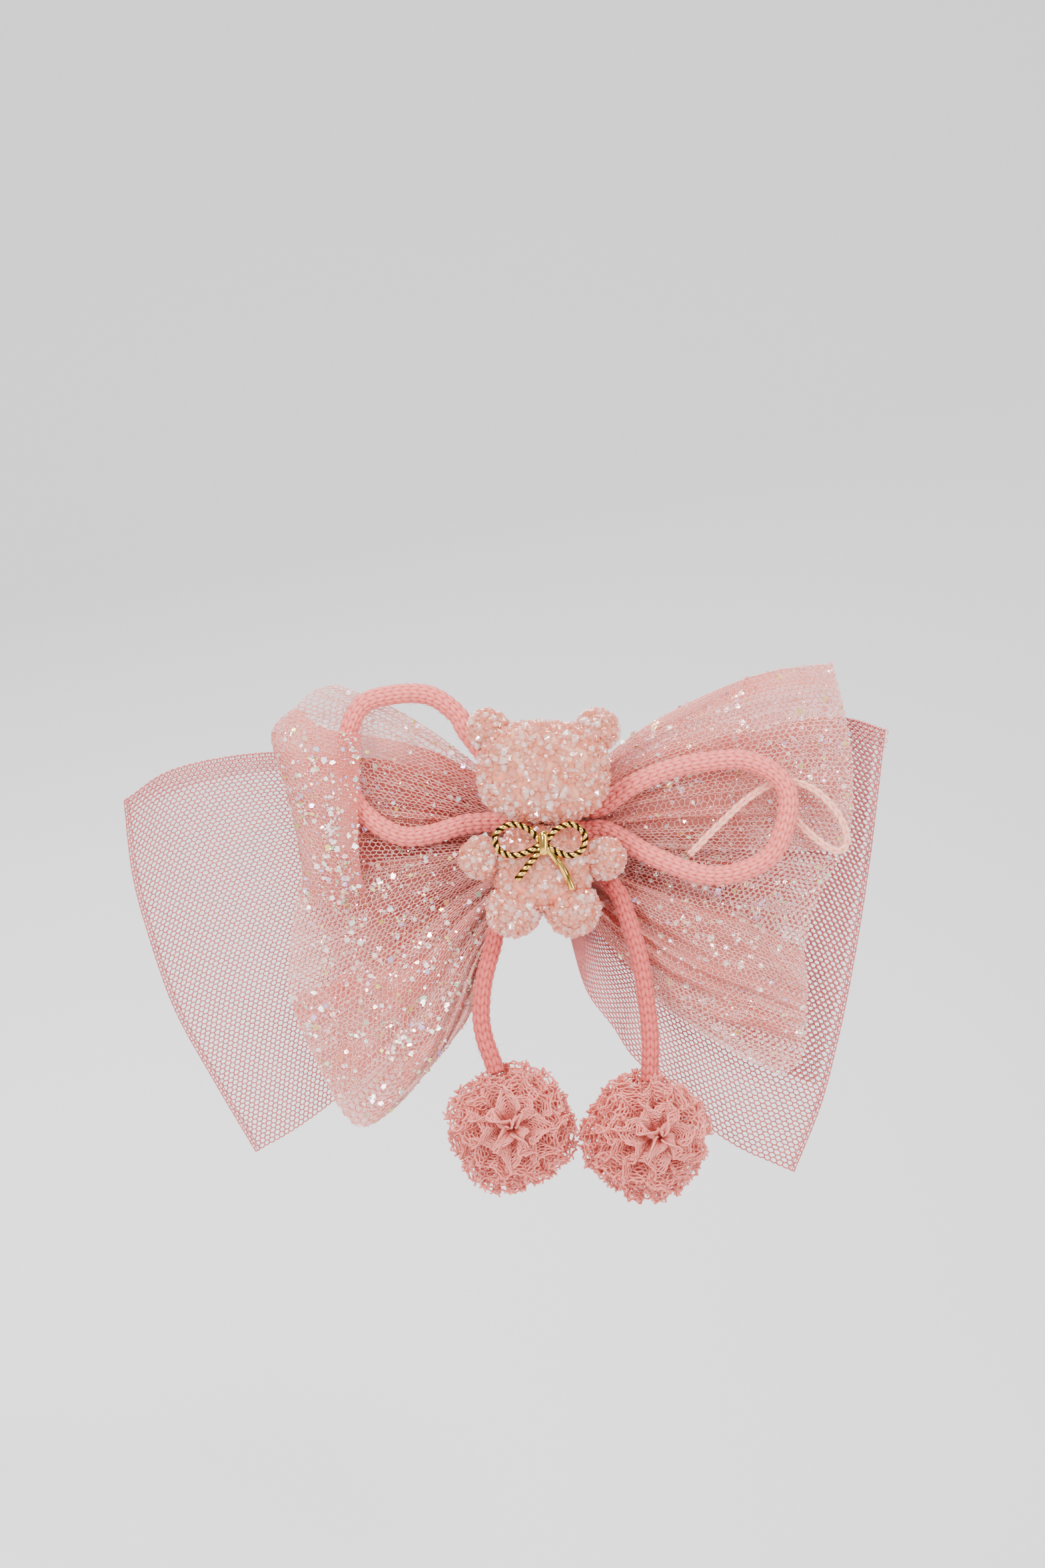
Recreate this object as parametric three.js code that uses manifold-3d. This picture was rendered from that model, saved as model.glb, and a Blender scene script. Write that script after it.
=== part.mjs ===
// A crystal-bear hair bow: two wings of stiff mesh, four lobes of glitter tulle over an organza
// lining, knitted cord loops and tails with net pompoms, a beaded bear with a gold wire bow, and a
// spring barrette behind. Millimetres. +X is to the right as seen from the front, +Z is up and -Y is
// the front. The origin is the middle of the barrette base's inner face, where the hair lies.

import * as THREE from 'three';
import { mergeVertices } from 'three/addons/utils/BufferGeometryUtils.js';
import Module from 'manifold-3d';

const wasm = await Module();
wasm.setup();

// Driving dimensions

const GAP = 0.3;                 // clearance between pieces that touch

const BASE_LENGTH = 76;          // barrette base, an arched steel strip
const BASE_WIDTH = 9;
const BASE_RADIUS = 160;
const PLATE = 0.8;               // thickness of the barrette's sheet steel
const ARM_RADIUS = 400;          // closing arm, flatter than the base
const ARM_WIDTH = 6;
const ARM_CLEAR = 9.3;           // base's inner face to the arm's inner face, in the middle
const LEAF_RADIUS = 118;         // tension leaf, bowed the other way
const LEAF_WIDTH = 4.5;
const LEAF_THICK = 0.5;
const LEAF_CLEAR = 5.25;         // base's inner face to the leaf, in the middle
const LEAF_SPAN = 64;
const PIVOT = { x: -37.5, y: 11.3 };
const PIN_RADIUS = 0.65;
const CATCH_X = 37;
const CATCH_TOP = 7;             // where the catch's prongs stand on its post
const WINDOW_Z = 2.6;            // half the height of the arm's window for the prongs

const MESH = { back: -3.2, front: -4.3 };        // layers, each from its back to its front
const LINING = { back: -4.6, front: -6.9 };
const TULLE = { back: -7.2, front: -13.6 };
const TULLE_THIN = -9.7;                         // front of the tulle where the bear covers it
const COVERED = 16;                              // half the width of that covered stretch
const WRAP_Z = 8.6;                              // half the height of the gathered middle
const WRAP_X = 5;
const WRAP_THICK = 0.7;

const CORD = 4;                  // knitted cord
const THIN_CORD = 1.6;           // crocheted chain cord
const KNOT = { radius: 7.5, z: 3, back: -11, front: -15.1 };
const BEAR_BACK = -16.6;
const POMPOM = 25.4;
const WIRE = 1.5;                // wire of the gold bow

const PINK_NET = { color: 0xe3bcc0, roughness: 0.75, metalness: 0 };
const PINK_TULLE = { color: 0xf0c8c2, roughness: 0.6, metalness: 0 };
const PEACH = { color: 0xe0a196, roughness: 0.8, metalness: 0 };
const CORD_PINK = { color: 0xe6aaa4, roughness: 0.9, metalness: 0 };
const POMPOM_PINK = { color: 0xe59f99, roughness: 0.95, metalness: 0 };
const CRYSTAL = { color: 0xf6dcd6, roughness: 0.15, metalness: 0 };
const GOLD = { color: 0xc9a45c, roughness: 0.25, metalness: 1 };
const STEEL = { color: 0xb9babd, roughness: 0.3, metalness: 1 };
const FELT = { color: 0xf1dcd6, roughness: 1, metalness: 0 };

const bow = new THREE.Group();

// Helpers

function addPiece(name, geometry, finish) {
  const mesh = new THREE.Mesh(geometry, new THREE.MeshStandardMaterial(finish));
  mesh.name = name;
  bow.add(mesh);
  return mesh;
}

function toSolid(geometry) {
  const plain = geometry.clone();
  plain.deleteAttribute('normal');
  plain.deleteAttribute('uv');
  const merged = mergeVertices(plain, 1e-4);
  return new wasm.Manifold(new wasm.Mesh({
    numProp: 3,
    vertProperties: new Float32Array(merged.attributes.position.array),
    triVerts: new Uint32Array(merged.index.array),
  }));
}

function toGeometry(solid) {
  const mesh = solid.getMesh();
  const geometry = new THREE.BufferGeometry();
  geometry.setAttribute('position', new THREE.BufferAttribute(new Float32Array(mesh.vertProperties), 3));
  geometry.setIndex(new THREE.BufferAttribute(new Uint32Array(mesh.triVerts), 1));
  return geometry;
}

function joined(...geometries) {
  return toGeometry(geometries.map(toSolid).reduce((sum, solid) => sum.add(solid)));
}

function cut(geometry, ...cutters) {
  return toGeometry(cutters.map(toSolid).reduce((rest, solid) => rest.subtract(solid), toSolid(geometry)));
}

function common(first, second) {
  return toGeometry(toSolid(first).intersect(toSolid(second)));
}

function box(x0, x1, y0, y1, z0, z1) {
  const geometry = new THREE.BoxGeometry(x1 - x0, y1 - y0, z1 - z0);
  return geometry.translate((x0 + x1) / 2, (y0 + y1) / 2, (z0 + z1) / 2);
}

// A ball, or with a power above 2 one that is squared towards a box: its surface is where the
// coordinates' powers, as shares of the radii, add up to 1.
function ball(x, y, z, rx, ry, rz, power = 2) {
  const geometry = new THREE.SphereGeometry(1, 18, 12).rotateX(Math.PI / 2);
  const position = geometry.attributes.position;
  for (let i = 0; i < position.count; i += 1) {
    const point = new THREE.Vector3().fromBufferAttribute(position, i);
    const sum = point.toArray().reduce((total, value) => total + Math.abs(value) ** power, 0);
    position.setXYZ(i, ...point.divideScalar(sum ** (1 / power)).toArray());
  }
  return geometry.scale(rx, ry, rz).translate(x, y, z);
}

// A closed smooth curve through [x, z] points.
function smoothOutline(points) {
  const curve = new THREE.CatmullRomCurve3(points.map(([x, z]) => new THREE.Vector3(x, z, 0)), true, 'centripetal');
  return curve.getPoints(points.length * 3).slice(0, -1).map((point) => [point.x, point.y]);
}

// A closed outline of [x, z] points, turned to face -Y and given a thickness.
function outlineSolid(points, back, front, edge) {
  const shape = new THREE.Shape(points.map(([x, z]) => new THREE.Vector2(x, z)));
  const geometry = new THREE.ExtrudeGeometry(shape, {
    depth: back - front - 2 * edge,
    bevelEnabled: edge > 0,
    bevelThickness: edge,
    bevelSize: edge,
    bevelOffset: -edge,
    bevelSegments: 2,
  });
  return geometry.rotateX(Math.PI / 2).translate(0, back - edge, 0);
}

// A shape drawn in the XY plane, as seen from above, with a height centred on z = 0.
function planSolid(shape, height) {
  return new THREE.ExtrudeGeometry(shape, { depth: height, bevelEnabled: false }).translate(0, 0, -height / 2);
}

// A strip bent to a circle: middle is the strip's centre line at x = 0, and a positive radius turns
// its ends towards +Y.
function arcStrip(middle, radius, x0, x1, thick, width) {
  const steps = 15;
  const line = (offset) => Array.from({ length: steps + 1 }, (_, i) => {
    const x = x0 + (x1 - x0) * i / steps;
    return new THREE.Vector2(x, middle + offset + x * x / (2 * radius));
  });
  return planSolid(new THREE.Shape([...line(-thick / 2), ...line(thick / 2).reverse()]), width);
}

function circleShape(radius, sides) {
  return new THREE.Shape(Array.from({ length: sides }, (_, i) => {
    const angle = 2 * Math.PI * i / sides;
    return new THREE.Vector2(radius * Math.cos(angle), radius * Math.sin(angle));
  }));
}

function tube(points, diameter, steps, sides = 8) {
  const path = new THREE.CatmullRomCurve3(points.map((p) => new THREE.Vector3(...p)), false, 'centripetal');
  const section = circleShape(diameter / 2, sides);
  return new THREE.ExtrudeGeometry(section, { steps, extrudePath: path, bevelEnabled: false });
}

function rod(x, y, z0, z1, radius, sides = 12) {
  return new THREE.CylinderGeometry(radius, radius, z1 - z0, sides).rotateX(Math.PI / 2)
    .translate(x, y, (z0 + z1) / 2);
}

// Barrette

const armMiddle = ARM_CLEAR + PLATE / 2;
const armEnd = armMiddle + CATCH_X ** 2 / (2 * ARM_RADIUS);
const earZ = ARM_WIDTH / 2 + GAP + 0.3;

function barretteBase() {
  const strip = arcStrip(-PLATE / 2, BASE_RADIUS, -BASE_LENGTH / 2, BASE_LENGTH / 2, PLATE, BASE_WIDTH);
  const ear = (z) => joined(
    box(PIVOT.x - 1.9, PIVOT.x + 1.9, 3.6, PIVOT.y, z - PLATE / 2, z + PLATE / 2),
    rod(PIVOT.x, PIVOT.y, z - PLATE / 2, z + PLATE / 2, 1.9),
  );
  const solid = joined(strip, ear(earZ + PLATE / 2), ear(-earZ - PLATE / 2));
  const pinHole = rod(PIVOT.x, PIVOT.y, -BASE_WIDTH, BASE_WIDTH, PIN_RADIUS + GAP);
  const sewingHoles = [-30, -20, -10, 10, 20, 30].map((x) =>
    new THREE.CylinderGeometry(0.9, 0.9, 14, 8).translate(x, 0, 0));
  return cut(solid, pinHole, ...sewingHoles);
}

function hingePin() {
  const end = earZ + PLATE + GAP;
  const shaft = rod(PIVOT.x, PIVOT.y, -end - 0.3, end + 0.3, PIN_RADIUS);
  const heads = [1, -1].map((side) => rod(PIVOT.x, PIVOT.y,
    side > 0 ? end : -end - 0.6, side > 0 ? end + 0.6 : -end, 1.2));
  return joined(shaft, ...heads);
}

function closingArm() {
  const strip = arcStrip(armMiddle, ARM_RADIUS, PIVOT.x + 1.2, CATCH_X - 1, PLATE, ARM_WIDTH);
  const knuckle = rod(PIVOT.x, PIVOT.y, -ARM_WIDTH / 2, ARM_WIDTH / 2, 1.6);
  const tip = box(CATCH_X - 3.6, CATCH_X + 3.4, armEnd - PLATE / 2, armEnd + PLATE / 2, -4.2, 4.2);
  const window = box(CATCH_X - 2, CATCH_X + 2, armEnd - 2, armEnd + 2, -WINDOW_Z, WINDOW_Z);
  const bore = rod(PIVOT.x, PIVOT.y, -ARM_WIDTH, ARM_WIDTH, PIN_RADIUS + GAP);
  return cut(joined(strip, knuckle, tip), window, bore);
}

function catchPost() {
  const footX = CATCH_X - 2;
  const footY = footX ** 2 / (2 * BASE_RADIUS);
  return box(footX, CATCH_X + 2, footY + 1, CATCH_TOP, -WINDOW_Z, WINDOW_Z);
}

// A spring prong with a small barb, which clears the arm's window by half a GAP.
function catchProng(side) {
  const top = armEnd + 2.2;
  const slab = (y0, y1, inner, outer) => box(CATCH_X - 1.5, CATCH_X + 1.5, y0, y1,
    Math.min(side * inner, side * outer), Math.max(side * inner, side * outer));
  return joined(slab(CATCH_TOP + GAP, top, 1.5, 2.1), slab(top - 1.3, top, 2, WINDOW_Z - GAP / 2));
}

addPiece('barrette_base', barretteBase(), STEEL);
addPiece('hinge_pin', hingePin(), STEEL);
addPiece('closing_arm', closingArm(), STEEL);
addPiece('tension_leaf', arcStrip(LEAF_CLEAR + LEAF_THICK / 2, LEAF_RADIUS, -LEAF_SPAN / 2, LEAF_SPAN / 2,
  LEAF_THICK, LEAF_WIDTH), STEEL);
addPiece('catch_post', catchPost(), STEEL);
addPiece('catch_prong_upper', catchProng(1), STEEL);
addPiece('catch_prong_lower', catchProng(-1), STEEL);

// Backing and gathered middle

addPiece('backing_strip', arcStrip(-1.7, BASE_RADIUS, -39, 39, PLATE, 13), FELT);

function gatherWrap() {
  const outer = box(-WRAP_X, WRAP_X, TULLE_THIN - GAP - WRAP_THICK, MESH.back + GAP + WRAP_THICK, -WRAP_Z, WRAP_Z);
  const inner = box(-WRAP_X * 2, WRAP_X * 2, TULLE_THIN - GAP, MESH.back + GAP,
    WRAP_THICK - WRAP_Z, WRAP_Z - WRAP_THICK);
  return cut(outer, inner);
}

addPiece('gather_wrap', gatherWrap(), PEACH);

// Fabric. Each outline is listed from the gathered middle outwards and around.

const neck = WRAP_Z - WRAP_THICK - 1;
const seam = 1.8;

const meshLeft = [
  [-seam, neck], [-8, neck], [-25, 15], [-51, 17.5], [-71.5, 14.5], [-82.3, 8], [-80.7, -6], [-77.6, -18],
  [-72.3, -33], [-64.6, -47], [-56.3, -61], [-45, -54], [-34, -44], [-20, -24], [-8, -neck], [-seam, -neck],
];
const meshRight = [
  [seam, -neck], [6.5, -neck], [9, -26], [13.8, -36.5], [19, -43.5], [35, -58], [49.3, -65], [54.5, -52],
  [57.7, -40], [60.7, -25.5], [64, -5], [67.2, 21.8], [59.2, 24], [40, 21], [10, neck], [seam, neck],
];
const liningLeft = [
  [-seam, neck], [-8, neck], [-24, 17], [-40, 20], [-44, 4], [-43, -14], [-36, -30], [-22, -28], [-8, -neck],
  [-seam, -neck],
];
const liningRight = [
  [seam, -neck], [8, -neck], [22, -24], [40, -32], [47, -16], [50, 4], [49, 24], [26, 18], [8, neck],
  [seam, neck],
];
const tulleUpperLeft = [
  [-seam, 1.4], [-seam, neck], [-7, neck], [-19.5, 20], [-30, 26.5], [-40.4, 30.7], [-47.6, 25], [-52.9, 20.3],
  [-50.8, 13], [-47.3, 1], [-46, -5], [-30, -4], [-10, -0.2],
];
const tulleLowerLeft = [
  [-seam, -1.4], [-10, -2], [-30, -6], [-46, -8], [-48.5, -17], [-50, -30], [-46.5, -40], [-36.7, -55],
  [-28, -51], [-19.6, -41], [-13.9, -33], [-9.2, -18], [-6, -neck], [-seam, -neck],
];
const tulleUpperRight = [
  [seam, 1.4], [12, 0.2], [36, -0.6], [59, -1], [60.3, 15.7], [59.2, 23.5], [56.4, 34.8], [46.9, 33.7],
  [37.8, 31], [25.6, 25.5], [14.8, 18.5], [7, neck], [seam, neck],
];
const tulleLowerRight = [
  [seam, -1.4], [seam, -neck], [7, -neck], [14, -22], [22.5, -31.5], [35, -40.2], [46.5, -46], [51, -41],
  [51.6, -30], [51, -23], [56, -6], [36, -4], [12, -2],
];

function tulleLobe(outline) {
  const lobe = outlineSolid(smoothOutline(outline), TULLE.back, TULLE.front, 1.2);
  return cut(lobe, box(-COVERED, COVERED, TULLE.front - 5, TULLE_THIN, -80, 80));
}

// The upper left lobe turns over at its outer edge and comes back as a front flap with a cut edge.
function tulleLoop() {
  const backLayer = TULLE.back - 2.1;
  const flap = { back: -14.3, front: -16.3, edge: -36.5 };
  const plan = new THREE.Shape([
    new THREE.Vector2(0, TULLE.back), new THREE.Vector2(-60, TULLE.back), new THREE.Vector2(-60, flap.front),
    new THREE.Vector2(flap.edge, flap.front), new THREE.Vector2(flap.edge, flap.back),
    new THREE.Vector2(-45, flap.back), new THREE.Vector2(-45, backLayer), new THREE.Vector2(0, backLayer),
  ]);
  return common(outlineSolid(smoothOutline(tulleUpperLeft), TULLE.back, flap.front, 0), planSolid(plan, 90));
}

addPiece('mesh_wing_left', outlineSolid(meshLeft, MESH.back, MESH.front, 0), PINK_NET);
addPiece('mesh_wing_right', outlineSolid(meshRight, MESH.back, MESH.front, 0), PINK_NET);
addPiece('organza_lining_left', outlineSolid(smoothOutline(liningLeft), LINING.back, LINING.front, 0.6), PEACH);
addPiece('organza_lining_right', outlineSolid(smoothOutline(liningRight), LINING.back, LINING.front, 0.6), PEACH);
addPiece('tulle_loop_upper_left', tulleLoop(), PINK_TULLE);
addPiece('tulle_lobe_lower_left', tulleLobe(tulleLowerLeft), PINK_TULLE);
addPiece('tulle_lobe_upper_right', tulleLobe(tulleUpperRight), PINK_TULLE);
addPiece('tulle_lobe_lower_right', tulleLobe(tulleLowerRight), PINK_TULLE);

// Cords. Each route is a list of [x, y, z] points on the cord's centre line.

const knotDisc = new THREE.CylinderGeometry(KNOT.radius, KNOT.radius, KNOT.back - KNOT.front, 20)
  .translate(0, (KNOT.back + KNOT.front) / 2, KNOT.z);
addPiece('cord_knot', knotDisc, CORD_PINK);

const loopLeft = [
  [-5.4, -13, 9.6], [-14.4, -12.4, 20.8], [-16.8, -12, 24.8], [-22, -11.8, 28.4], [-29, -11.8, 28.6],
  [-35.4, -11.8, 26.4], [-38.2, -11.8, 19.5], [-37.8, -11.8, 11], [-34.5, -11.8, 5.2], [-28, -11.8, 1.2],
  [-22, -11.8, 1.4], [-15, -12.4, 3.4], [-8.5, -13, 3.8],
];
const loopRight = [
  [7.9, -13, 6.6], [11.4, -14.6, 7], [17.2, -17.6, 11], [24, -18, 13.9], [31, -18, 15.4], [39, -18, 15.8],
  [45.6, -18, 12.4], [47.4, -18, 6.8], [44.6, -18, -1.8], [38.5, -18, -5.6], [31, -18, -6.3],
  [21.5, -17.6, -2.9], [12.6, -14.8, 2], [8.5, -13, 2.1],
];
const chainLoop = [
  [28.5, -14.8, -2.4], [34, -14.8, 3.2], [40, -14.8, 8.6], [46, -14.8, 11.6], [52, -14.8, 10.4],
  [57, -14.8, 5.6], [59, -14.8, 0.4], [57, -14.8, -1.8], [52.4, -14.8, 1], [47, -14.8, 6.4],
];

// A tail: its fixed start, the free stretch from the bend where it starts to swing, and the point
// inside the pompom's top where it is tied.
const tails = {
  left: {
    root: [[-3.6, -13, -5.3], [-6.8, -13.6, -11.5], [-9.2, -14.6, -17.7]],
    free: [[-9.7, -15, -20], [-11.5, -16.6, -27], [-12, -17.6, -33.5], [-11.3, -18, -38], [-9.8, -18, -42.2]],
    tie: [-9.2, -18, -44.3],
    pompom: [-6.1, -18, -55.2],
  },
  right: {
    root: [[6.2, -13, -3.1], [10.4, -14.6, -5.2], [14.4, -16.6, -9.8]],
    free: [[15.4, -17.2, -12], [18.4, -17.9, -21.5], [20, -18, -31], [20.7, -18, -38.5], [20.6, -18, -43.6]],
    tie: [20.5, -18, -45.9],
    pompom: [19.8, -18, -56.8],
  },
};

addPiece('cord_loop_left', tube(loopLeft, CORD, 20), CORD_PINK);
addPiece('cord_loop_right', tube(loopRight, CORD, 21), CORD_PINK);
addPiece('chain_cord_loop', tube(chainLoop, THIN_CORD, 18), PEACH);

for (const [side, tail] of Object.entries(tails)) {
  const bend = tail.free[0];
  const tieRadius = CORD / 2 - 0.1;
  const [px, py, pz] = tail.pompom;
  addPiece(`cord_tail_root_${side}`, tube(tail.root, CORD, 3), CORD_PINK);
  const bendBall = ball(...bend, CORD / 2, CORD / 2, CORD / 2);
  addPiece(`cord_tail_${side}`, joined(tube(tail.free, CORD, 5), bendBall), CORD_PINK);
  addPiece(`pompom_tie_${side}`, ball(...tail.tie, tieRadius, tieRadius, tieRadius), CORD_PINK);
  const fluff = ball(px, py, pz, POMPOM / 2 - 0.4, POMPOM / 2, POMPOM / 2 + 0.3);
  const dimple = tieRadius + GAP;
  addPiece(`pompom_${side}`, cut(fluff, ball(...tail.tie, dimple, dimple, dimple),
    tube([tail.free.at(-2), tail.free.at(-1), tail.tie], CORD + 4 * GAP, 4, 12)), POMPOM_PINK);
}

// Bear, in the order it is glued up: each later piece is cut back to clear the earlier ones.

addPiece('bear_backing', outlineSolid([[-5, 12], [5, 12], [5, -5], [-5, -5]], KNOT.front - GAP,
  BEAR_BACK + GAP, 0), FELT);

// The head and the torso are between a ball and a box, and their corners carry the ears and arms.
const SQUARED = 2.7;
const bearBalls = [
  ['bear_head', [0, BEAR_BACK - 8, 13.6], [12.6, 8, 9.7], SQUARED],
  ['bear_torso', [0, BEAR_BACK - 6.5, -5], [9.4, 6.5, 8.6], SQUARED],
  ['bear_ear_left', [-10.6, BEAR_BACK - 7.5, 21.5], [4.2, 3.4, 4.2]],
  ['bear_ear_right', [10.4, BEAR_BACK - 7.5, 21.5], [4.2, 3.4, 4.2]],
  ['bear_arm_left', [-11.9, BEAR_BACK - 7.4, -3], [4.2, 4.2, 4.2]],
  ['bear_arm_right', [11.7, BEAR_BACK - 7.4, -3], [4.2, 4.2, 4.2]],
  ['bear_leg_left', [-5.7, BEAR_BACK - 8, -13], [5.3, 5.3, 5.3]],
  ['bear_leg_right', [5.7, BEAR_BACK - 8, -12.8], [5.3, 5.3, 5.3]],
];
bearBalls.forEach(([name, centre, radii, power], index) => {
  const earlier = bearBalls.slice(0, index).map(([, otherCentre, otherRadii, otherPower]) => (
    ball(...otherCentre, ...otherRadii.map((r) => r + GAP), otherPower)));
  const plain = ball(...centre, ...radii, power);
  addPiece(name, earlier.length ? cut(plain, ...earlier) : plain, CRYSTAL);
});

// Gold bow: two wire loops and two wire tails from a small knot.

const wireY = BEAR_BACK - 13.9;
const RIGHT_LOOP = 0.87;
const wireLoop = (across) => tube([
  [0.6, 0.2], [3, 2.7], [6.4, 3.5], [9.1, 1.6], [8.6, -1.2], [6, -2.4], [3, -1.7], [0.6, -0.4],
].map(([x, z]) => [across * x, wireY, z]), WIRE, 16);
const wireTailLeft = tube([[0, wireY, -0.6], [-1.6, wireY, -2.6], [-3.2, wireY, -4.6], [-5.2, wireY, -7.2]], WIRE, 4);
const wireTailRight = tube([[0, wireY, -0.6], [2, wireY, -2.6], [4, wireY, -5.4], [5.6, wireY, -9]], WIRE, 5);
addPiece('gold_wire_bow', joined(wireLoop(-1), wireLoop(RIGHT_LOOP), wireTailLeft, wireTailRight,
  box(-0.8, 0.8, wireY - 1.2, wireY + 0.6, -2.1, 2.1)), GOLD);

export default bow;
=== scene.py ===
"""A crystal-bear hair bow: stiff mesh wings, glitter tulle lobes over an organza lining, knitted
cord loops and tails with net pompoms, a beaded bear, a gold wire bow and a steel spring barrette.
The surfaces are worked out in millimetres and stored in metres."""

import math

import bpy
import numpy as np
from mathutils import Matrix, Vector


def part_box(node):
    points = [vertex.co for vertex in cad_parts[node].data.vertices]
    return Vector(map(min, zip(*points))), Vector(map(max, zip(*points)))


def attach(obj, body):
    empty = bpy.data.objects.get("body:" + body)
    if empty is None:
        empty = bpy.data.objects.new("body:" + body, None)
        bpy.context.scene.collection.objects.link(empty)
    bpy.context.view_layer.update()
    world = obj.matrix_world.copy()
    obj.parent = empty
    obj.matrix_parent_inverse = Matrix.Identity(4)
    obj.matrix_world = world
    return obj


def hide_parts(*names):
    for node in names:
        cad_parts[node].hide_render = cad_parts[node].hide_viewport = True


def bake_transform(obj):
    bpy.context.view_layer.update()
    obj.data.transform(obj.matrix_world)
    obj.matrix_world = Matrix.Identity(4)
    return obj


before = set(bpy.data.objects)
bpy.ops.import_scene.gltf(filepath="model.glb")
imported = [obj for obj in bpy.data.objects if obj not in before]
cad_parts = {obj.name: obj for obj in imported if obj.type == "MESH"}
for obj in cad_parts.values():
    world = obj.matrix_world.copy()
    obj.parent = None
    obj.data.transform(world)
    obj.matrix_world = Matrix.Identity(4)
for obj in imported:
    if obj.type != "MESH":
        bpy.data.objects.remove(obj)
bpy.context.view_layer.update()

MM = 0.001
TAU = 2 * math.pi
SEED = 11

MESH_Y = -3.8          # middle of the stiff mesh layer
LINING_Y = -5.8        # middle of the organza
TULLE_Y = -8.2         # back layer of the glitter tulle
BEAR_Y = -24.6         # middle of the bear's head
GOLD_Y = -30.5         # middle of the gold wire
CORD = 4.0             # diameter of the loops' cord
TAIL_CORD = 3.6
THIN_CORD = 1.7
LEG_RINGS = 6          # of each stitch's yarn
LEG_SIDES = 6
WIRE = 1.5
BASE_RADIUS = 160      # of the barrette's curve
CLEAR_OF_POLE = 0.001  # how far a ball's end rings stay from its poles, in radians


# Camera and lights


def add_camera():
    """A long lens straight in front, with the bow a little below the middle of the frame."""
    data = bpy.data.cameras.new("camera")
    data.lens = 100
    data.sensor_fit = "VERTICAL"
    data.sensor_height = 36
    data.clip_end = 20
    camera = bpy.data.objects.new("camera", data)
    camera.location = (-0.004, -0.859, 0.0112)
    camera.rotation_euler = (math.pi / 2, 0, 0)
    bpy.context.scene.collection.objects.link(camera)
    bpy.context.scene.camera = camera


def add_light(name, location, size, power, colour=(1, 1, 1)):
    """A square soft box that faces the middle of the bow."""
    data = bpy.data.lights.new(name, "AREA")
    data.size = size
    data.energy = power
    data.color = colour
    light = bpy.data.objects.new(name, data)
    light.location = location
    light.visible_camera = False
    x, y, z = location
    light.rotation_euler = (math.atan2(math.hypot(x, y), z), 0, math.atan2(x, -y))
    bpy.context.scene.collection.objects.link(light)


add_camera()


# Mesh and material helpers


def unit(vectors):
    """The vectors at length one."""
    return vectors / np.maximum(np.linalg.norm(vectors, axis=-1, keepdims=True), 1e-9)


def srgb(code):
    """A linear colour from an sRGB hex code."""
    channels = [int(code[i:i + 2], 16) / 255 for i in (1, 3, 5)]
    linear = [c / 12.92 if c <= 0.04045 else ((c + 0.055) / 1.055) ** 2.4 for c in channels]
    return (*linear, 1.0)


def add_mesh(name, verts, faces, materials, smooth=True, slots=None, tint=None):
    """A mesh object from points in millimetres and a list of face index arrays."""
    mesh = bpy.data.meshes.new(name)
    counts = np.concatenate([np.full(len(f), f.shape[1]) for f in faces])
    corners = np.concatenate([f.ravel() for f in faces]).astype(np.int32)
    mesh.vertices.add(len(verts))
    mesh.vertices.foreach_set("co", (np.asarray(verts) * MM).astype(np.float32).ravel())
    mesh.loops.add(len(corners))
    mesh.loops.foreach_set("vertex_index", corners)
    mesh.polygons.add(len(counts))
    mesh.polygons.foreach_set("loop_start", np.concatenate([[0], np.cumsum(counts)[:-1]]).astype(np.int32))
    mesh.polygons.foreach_set("use_smooth", np.full(len(counts), smooth))
    if slots is not None:
        mesh.polygons.foreach_set("material_index", np.asarray(slots, dtype=np.int32))
    mesh.update(calc_edges=True)
    for material in materials:
        mesh.materials.append(material)
    if tint is not None:
        values = np.asarray(tint, dtype=np.float32)
        mesh.attributes.new("tint", "FLOAT", "POINT").data.foreach_set("value", values)
    piece = bpy.data.objects.new(name, mesh)
    bpy.context.scene.collection.objects.link(piece)
    return piece


class Shape:
    """Points, faces, slots and tints gathered from several patches into one mesh."""

    def __init__(self):
        self.verts, self.faces, self.slots, self.tints, self.count = [], [], [], [], 0

    def add(self, verts, faces, slot=0, tint=0.5):
        """Adds a patch: its points, its faces and one slot and tint, or a tint for each point."""
        self.verts.append(np.asarray(verts, dtype=float))
        self.faces.append(np.asarray(faces) + self.count)
        self.slots.append(np.full(len(faces), slot))
        self.tints.append(np.broadcast_to(tint, (len(verts),)))
        self.count += len(verts)

    def add_faces(self, faces, patch_size, slot=0):
        """Adds more faces to the patch of that many points that was added last."""
        self.faces.append(np.asarray(faces) + self.count - patch_size)
        self.slots.append(np.full(len(faces), slot))

    def build(self, name, materials, smooth=True):
        """The finished object."""
        return add_mesh(name, np.concatenate(self.verts), self.faces, materials, smooth,
                        np.concatenate(self.slots), np.concatenate(self.tints))


def settle(piece, replaced, body="bow"):
    """Rides a piece on its body, in place of its CAD nodes."""
    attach(piece, body)
    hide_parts(*replaced)


def fill_inputs(node, values):
    """Sets a node's inputs by name, with _ for a space, or by number, as _0 or _1."""
    for key, value in values.items():
        numbered = key[0] == "_" and key[1:].isdigit()
        node.inputs[int(key[1:]) if numbered else key.replace("_", " ")].default_value = value


def add_node(tree, kind, settings=None, links=None, **values):
    """A shader node with its settings, its socket values and its links in one call."""
    node = tree.nodes.new(kind)
    for key, value in (settings or {}).items():
        setattr(node, key, value)
    fill_inputs(node, values)
    for key, source in (links or {}).items():
        tree.links.new(source, node.inputs[key])
    return node


def new_material(name, **values):
    """A material with an empty tree, its Principled shader with these input values, and its output."""
    material = bpy.data.materials.new(name)
    material.use_nodes = True
    tree = material.node_tree
    tree.nodes.clear()
    shader = tree.nodes.new("ShaderNodeBsdfPrincipled")
    output = tree.nodes.new("ShaderNodeOutputMaterial")
    tree.links.new(shader.outputs[0], output.inputs[0])
    fill_inputs(shader, values)
    return material, tree, shader, output


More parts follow.
